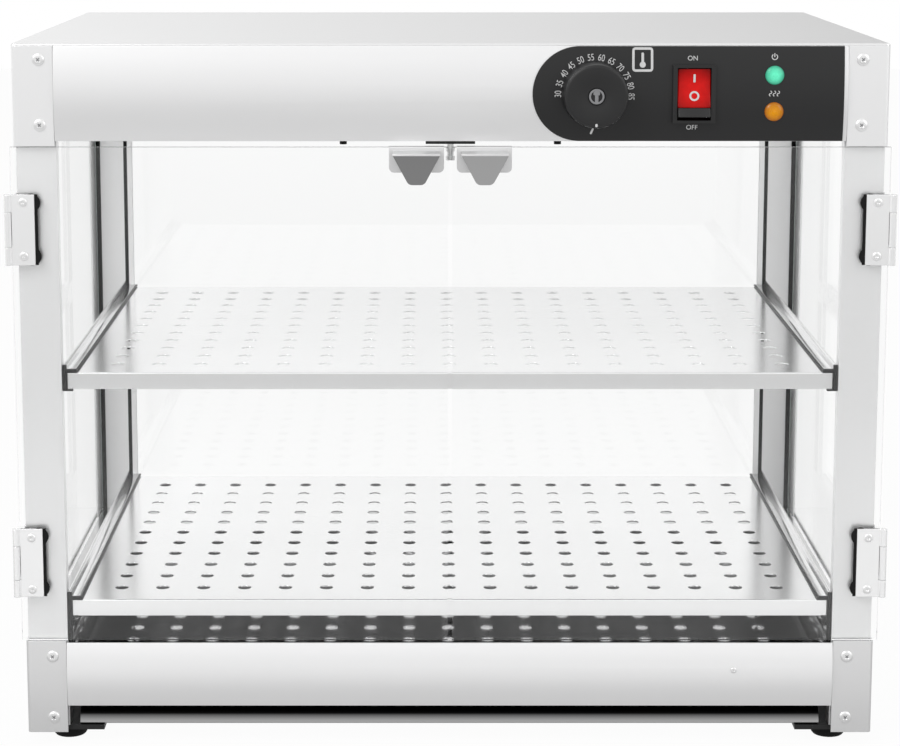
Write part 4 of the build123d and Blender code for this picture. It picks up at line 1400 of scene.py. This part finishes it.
@dataclass
class Heater:
    """What warms the cabinet, with its terminals and the gland at the rear."""

    def build(self) -> None:
        """Dress the element, its clips, the sensor, thermostat, terminals and gland."""
        dress(["heating_element"], ELEMENT_STEEL)
        dress(["element_clips", "temperature_sensor"], SCREW_STEEL)
        dress(["thermostat", "cord_gland"], BLACK_SATIN)
        dress(["terminal_block"], PALE_PLASTIC)


@dataclass
class Glazing:
    """The fixed panes at the sides and the rear."""

    def build(self) -> None:
        """Dress the panes."""
        dress(["rear_glass"], FRONT_GLASS)
        dress([f"side_glass_{side.label}" for side in Side], SIDE_GLASS)


@dataclass
class Catch:
    """The magnetic catch with its stud and bumpers under the upper beam."""

    def build(self) -> None:
        """Dress the catch, stud and bumpers."""
        dress(["magnetic_catch"], BLACK_SATIN)
        dress(["stop_stud"], SCREW_STEEL)
        dress(["beam_bumpers"], BLACK_RUBBER)


@dataclass
class Base:
    """The four rubber feet and the black plates above them."""

    foot_radius: float = 0.0125
    height: float = 0.010
    hollow: Profile = ((0.0, 0.0012), (0.0045, 0.0012), (0.0052, 0.0))
    flank: Profile = ((0.0033, 0.0), (0.0016, 0.0006), (0.0006, 0.0018), (0.0001, 0.0036),
                      (0.0, 0.006))

    def build(self) -> None:
        """Dress the plates and turn the feet."""
        dress(["foot_plates"], BLACK_SATIN)
        low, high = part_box("feet")
        feet = bmesh.new()
        up = Vector((0, 0, 1))
        profile = [*self.hollow, *((self.foot_radius - inset, rise) for inset, rise in self.flank),
                   (self.foot_radius, self.height), (0.0, self.height)]
        for x in (low.x + self.foot_radius, high.x - self.foot_radius):
            for y in (low.y + self.foot_radius, high.y - self.foot_radius):
                join(feet, lathe(profile, Vector((x, y, 0)), up, steps=40))
        place(feet, "foot_set", BLACK_RUBBER, Body.CABINET, Slot.RUBBER, ["feet"])


@dataclass
class Door:
    """One glass door with its pull, hinge leaves, gaskets and screws."""

    side: Side
    sheet: float = 0.0012
    bend: float = 0.0011
    plate_height: float = 0.019
    back_height: float = 0.014
    plate_corner: float = 0.0036
    tab_width: float = 0.033
    tab_tip: float = 0.0108
    tab_height: float = 0.022
    tab_lean: float = 0.0055
    tab_corner: float = 0.0024
    ledge_drop: float = 0.0034
    ledge_edge: float = 0.3
    leaf_screw: Screw = field(default_factory=lambda: Screw(
        head_radius=0.003, head_height=0.001, shank_radius=0.0016, shank_length=0.0075,
        recess_radius=0.0013, recess_depth=0.0006))
    screw_pitch: float = 0.038
    nut_height: float = 0.001
    nut_sides: int = 6
    nut: Profile = ((0.0, 0.0), (0.0033, 0.0), (0.0035, -0.0002), (0.0035, -0.001),
                    (0.0, -0.001))

    def build_pull(self) -> None:
        """Fold the clip over the glass, and the ledge with its tapered tab."""
        name = f"door_pull_{self.side.label}"
        low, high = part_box(name)
        glass_low, glass_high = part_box(f"door_glass_{self.side.label}")
        middle_x = (low.x + high.x) / 2
        width = high.x - low.x
        half_sheet = self.sheet / 2
        front = glass_low.y - half_sheet
        back = glass_high.y + half_sheet
        top = high.z - half_sheet
        wrap = [(back, high.z - self.back_height), (back, top), (front, top),
                (front, high.z - self.plate_height)]
        clip = folded_sheet(wrap, middle_x, [width] * len(wrap), self.sheet, self.bend,
                            self.plate_corner)
        ledge = high.z - self.ledge_drop - half_sheet
        reach = Vector((self.tab_width / 2, 0, half_sheet))
        join(clip, rounded_box(Vector((middle_x, low.y, ledge)) - reach,
                               Vector((middle_x, front, ledge)) + reach,
                               self.ledge_edge * self.sheet))
        place(clip, f"pull_clip_{self.side.label}", PLATE_STEEL, self.side.body,
              Slot.STAINLESS, [name])
        fold = low.y + self.sheet
        hang = [(fold, ledge), (fold + self.tab_lean, ledge + half_sheet - self.tab_height)]
        tab = folded_sheet(hang, middle_x, [self.tab_width, self.tab_tip], self.sheet, self.bend,
                           self.tab_corner)
        # The tab's steel is darker than the clip's and differs by side: painted shade.
        place(tab, f"pull_tab_{self.side.label}", TAB_STEEL[self.side], self.side.body,
              Slot.STAINLESS)

    def build_screws(self) -> None:
        """Build the four screws of the two hinge leaves, with their nuts."""
        name = f"hinge_screws_{self.side.label}"
        low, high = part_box(name)
        radius = self.leaf_screw.head_radius
        middle_x = (low.x + high.x) / 2
        seat_y = low.y + self.leaf_screw.head_height
        screws = bmesh.new()
        levels = [low.z + radius, low.z + radius + self.screw_pitch,
                  high.z - radius - self.screw_pitch, high.z - radius]
        for z in levels:
            join(screws, self.leaf_screw.build(Vector((middle_x, seat_y, z)), TOWARDS_FRONT))
            nut_seat = Vector((middle_x, high.y - self.nut_height, z))
            join(screws, lathe(self.nut, nut_seat, TOWARDS_FRONT, self.nut_sides))
        place(screws, f"leaf_screws_{self.side.label}", SCREW_STEEL, self.side.body,
              Slot.POLISHED, [name])

    def build(self) -> None:
        """Build and dress the door."""
        side = self.side.label
        dress([f"door_glass_{side}"], FRONT_GLASS)
        dress([f"hinge_leaves_{side}"], HINGE_STEEL)
        dress([f"hinge_gaskets_{side}"], BLACK_RUBBER)
        self.build_pull()
        self.build_screws()


@dataclass
class Hinges:
    """The fixed halves of the hinges, and their pins."""

    def build(self) -> None:
        """Dress the brackets and pins."""
        dress(["hinge_brackets"], HINGE_STEEL)
        dress(["hinge_pins"], SCREW_STEEL)


@dataclass
class Studio:
    """The camera, the floor, the background and the lamps."""

    lens: float = 96.1
    sensor: float = 36.0
    shift: tuple[float, float] = (0.028, -0.1375)
    camera_place: tuple[float, float, float] = (-0.0179, -1.8509, 0.6225)
    pitch: float = math.radians(8.83)
    floor_size: float = 12.0
    floor_colour: Colour = (0.86, 0.86, 0.86)
    floor_glow: float = 0.96
    # The next three fields give the floor grey bands by distance ahead of the cabinet, seen only by
    # mirrored rays: painted reflection.
    front_edge: float = 0.188
    floor_reach: float = 5.0
    reflected_floor_bands: tuple[tuple[float, float], ...] = (
        (0.08, 0.55), (0.18, 0.92), (0.34, 0.8), (0.6, 0.98), (1.2, 0.44), (1.9, 0.48), (5.0, 0.97))
    ambient: float = 0.5
    # The next four fields shape a grey wall behind the cabinet that only mirrored rays see: painted
    # reflection.
    rear_level: float = 0.77
    rear_fall: float = 1.05
    rear_height: float = 0.16
    rear_least: float = 0.35
    aim: tuple[float, float, float] = (0.0, 0.0, 0.25)
    nearest: float = 0.05
    lamp_size: float = 1.6
    key_place: tuple[float, float, float] = (-1.6, -1.9, 2.3)
    key_power: float = 38.0
    fill_place: tuple[float, float, float] = (2.0, -1.6, 1.5)
    fill_power: float = 12.0

    def add_camera(self) -> None:
        """Set the camera at the photograph's viewing angle."""
        data = bpy.data.cameras.new("camera")
        data.lens = self.lens
        data.sensor_width = self.sensor
        data.shift_x, data.shift_y = self.shift
        data.clip_start = self.nearest
        camera = bpy.data.objects.new("camera", data)
        camera.location = self.camera_place
        camera.rotation_euler = (QUARTER_TURN - self.pitch, 0.0, 0.0)
        bpy.context.scene.collection.objects.link(camera)
        bpy.context.scene.camera = camera

    @staticmethod
    def reflected(graph: Graph, path: bpy.types.Node) -> bpy.types.NodeSocket:
        """Tell whether a ray was mirrored on its way, panes between included."""
        return graph.math("GREATER_THAN", path.outputs["Glossy Depth"], ANY_BOUNCE)

    def direct(self, graph: Graph, path: bpy.types.Node) -> bpy.types.NodeSocket:
        """Tell whether a ray came from the camera, with only panes between."""
        clear = graph.math("ADD", path.outputs["Is Camera Ray"],
                           path.outputs["Is Transmission Ray"], clamp=True)
        return graph.math("SUBTRACT", clear, self.reflected(graph, path), clamp=True)

    def add_world(self) -> None:
        """Make a white surround that lights the scene at a plain level, with a grey wall low behind,
        darker towards +X, that only mirrored rays see: a painted reflection.
        """
        world = bpy.data.worlds.new("studio")
        bpy.context.scene.world = world
        world.use_nodes = True
        graph = Graph(world.node_tree)
        path = graph.add("LightPath")
        direction = graph.add("SeparateXYZ")
        graph.feed(direction.inputs[0], graph.add("TexCoord").outputs["Generated"])
        # A grey wall low behind, seen only by mirrored rays: painted reflection.
        behind = graph.math("GREATER_THAN", direction.outputs["Y"], 0.0)
        fall = graph.math("MULTIPLY", direction.outputs["X"], self.rear_fall)
        across = graph.math("MAXIMUM", self.rear_least,
                            graph.math("SUBTRACT", self.rear_level, fall, clamp=True))
        low_rear = graph.math("LESS_THAN", direction.outputs["Z"], self.rear_height)
        share = graph.math("MULTIPLY", behind, low_rear)
        painted_wall = graph.add("CombineColor")
        for socket in painted_wall.inputs:
            graph.feed(socket, across)
        mirrored = graph.blend(share, WHITE, painted_wall.outputs[0])
        level = (self.ambient,) * 3
        seen = graph.blend(self.reflected(graph, path), level, mirrored)
        direct = self.direct(graph, path)
        background = graph.add("Background")
        graph.feed(background.inputs["Color"], graph.blend(direct, seen, WHITE))
        graph.feed(graph.add("OutputWorld").inputs["Surface"], background.outputs[0])

    def add_floor(self) -> None:
        """Lay a pale floor that shows white to the camera and keeps a soft shadow; mirrored rays see
        grey bands by distance ahead of the cabinet, a painted reflection.
        """
        shape = bmesh.new()
        bmesh.ops.create_grid(shape, x_segments=1, y_segments=1, size=self.floor_size / 2)
        mesh = bpy.data.meshes.new("floor")
        shape.to_mesh(mesh)
        shape.free()
        floor = bpy.data.objects.new("floor", mesh)
        bpy.context.scene.collection.objects.link(floor)
        material, graph = new_material("pale_floor")
        matte = graph.add("BsdfDiffuse")
        matte.inputs["Color"].default_value = (*self.floor_colour, 1.0)
        glow = graph.add("Emission")
        path = graph.add("LightPath")
        spot = graph.add("SeparateXYZ")
        graph.feed(spot.inputs[0], graph.add("TexCoord").outputs["Object"])
        ahead = graph.math("SUBTRACT", graph.math("MULTIPLY", spot.outputs["Y"], -1.0),
                           self.front_edge)
        # Grey bands seen only by mirrored rays: painted reflection.
        ramp = graph.add("ValToRGB")
        graph.feed(ramp.inputs[0], graph.math("DIVIDE", ahead, self.floor_reach, clamp=True))
        stops = ramp.color_ramp.elements
        while len(stops) < len(self.reflected_floor_bands):
            stops.new(0.5)
        for stop, (distance, level) in zip(stops, self.reflected_floor_bands):
            stop.position = distance / self.floor_reach
            stop.color = (level, level, level, 1.0)
        behind = graph.math("GREATER_THAN", spot.outputs["Y"], 0.0)
        seen = self.direct(graph, path)
        plain = graph.math("MAXIMUM", seen, behind)
        graph.feed(glow.inputs["Color"], graph.blend(plain, ramp.outputs[0], WHITE))
        share = graph.math("MULTIPLY", self.floor_glow,
                           graph.math("MAXIMUM", seen, self.reflected(graph, path)))
        mix = graph.add("MixShader")
        graph.feed(mix.inputs[0], share)
        graph.feed(mix.inputs[1], matte.outputs[0])
        graph.feed(mix.inputs[2], glow.outputs[0])
        graph.feed(graph.add("OutputMaterial").inputs["Surface"], mix.outputs[0])
        mesh.materials.append(material)

    def add_lamp(self, name: str, spot: tuple[float, float, float], power: float) -> None:
        """Add a square softbox that faces the cabinet.

        Args:
            name: The lamp's name.
            spot: Where it stands.
            power: Its power in watts.
        """
        data = bpy.data.lights.new(name, "AREA")
        data.size = self.lamp_size
        data.energy = power
        lamp = bpy.data.objects.new(name, data)
        lamp.location = spot
        towards = Vector(self.aim) - Vector(spot)
        lamp.rotation_euler = towards.to_track_quat("-Z", "Y").to_euler()
        bpy.context.scene.collection.objects.link(lamp)

    def build(self) -> None:
        """Set up everything around the cabinet."""
        bpy.context.scene.view_settings.view_transform = "Standard"
        self.add_camera()
        self.add_world()
        self.add_floor()
        self.add_lamp("key_softbox", self.key_place, self.key_power)
        self.add_lamp("fill_softbox", self.fill_place, self.fill_power)
        log.info("studio ready")


def main() -> None:
    """Build the studio and the cabinet's pieces in order."""
    logging.basicConfig(level=logging.INFO, format="%(message)s")
    Studio().build()
    assemblies = [Housing(), Shelving(), Glazing(), ControlPanel(), Rocker(), Catch(), Hinges(),
                  Door(Side.LEFT), Door(Side.RIGHT), Base(), Heater()]
    for assembly in assemblies:
        assembly.build()


if __name__ == "__main__":
    main()
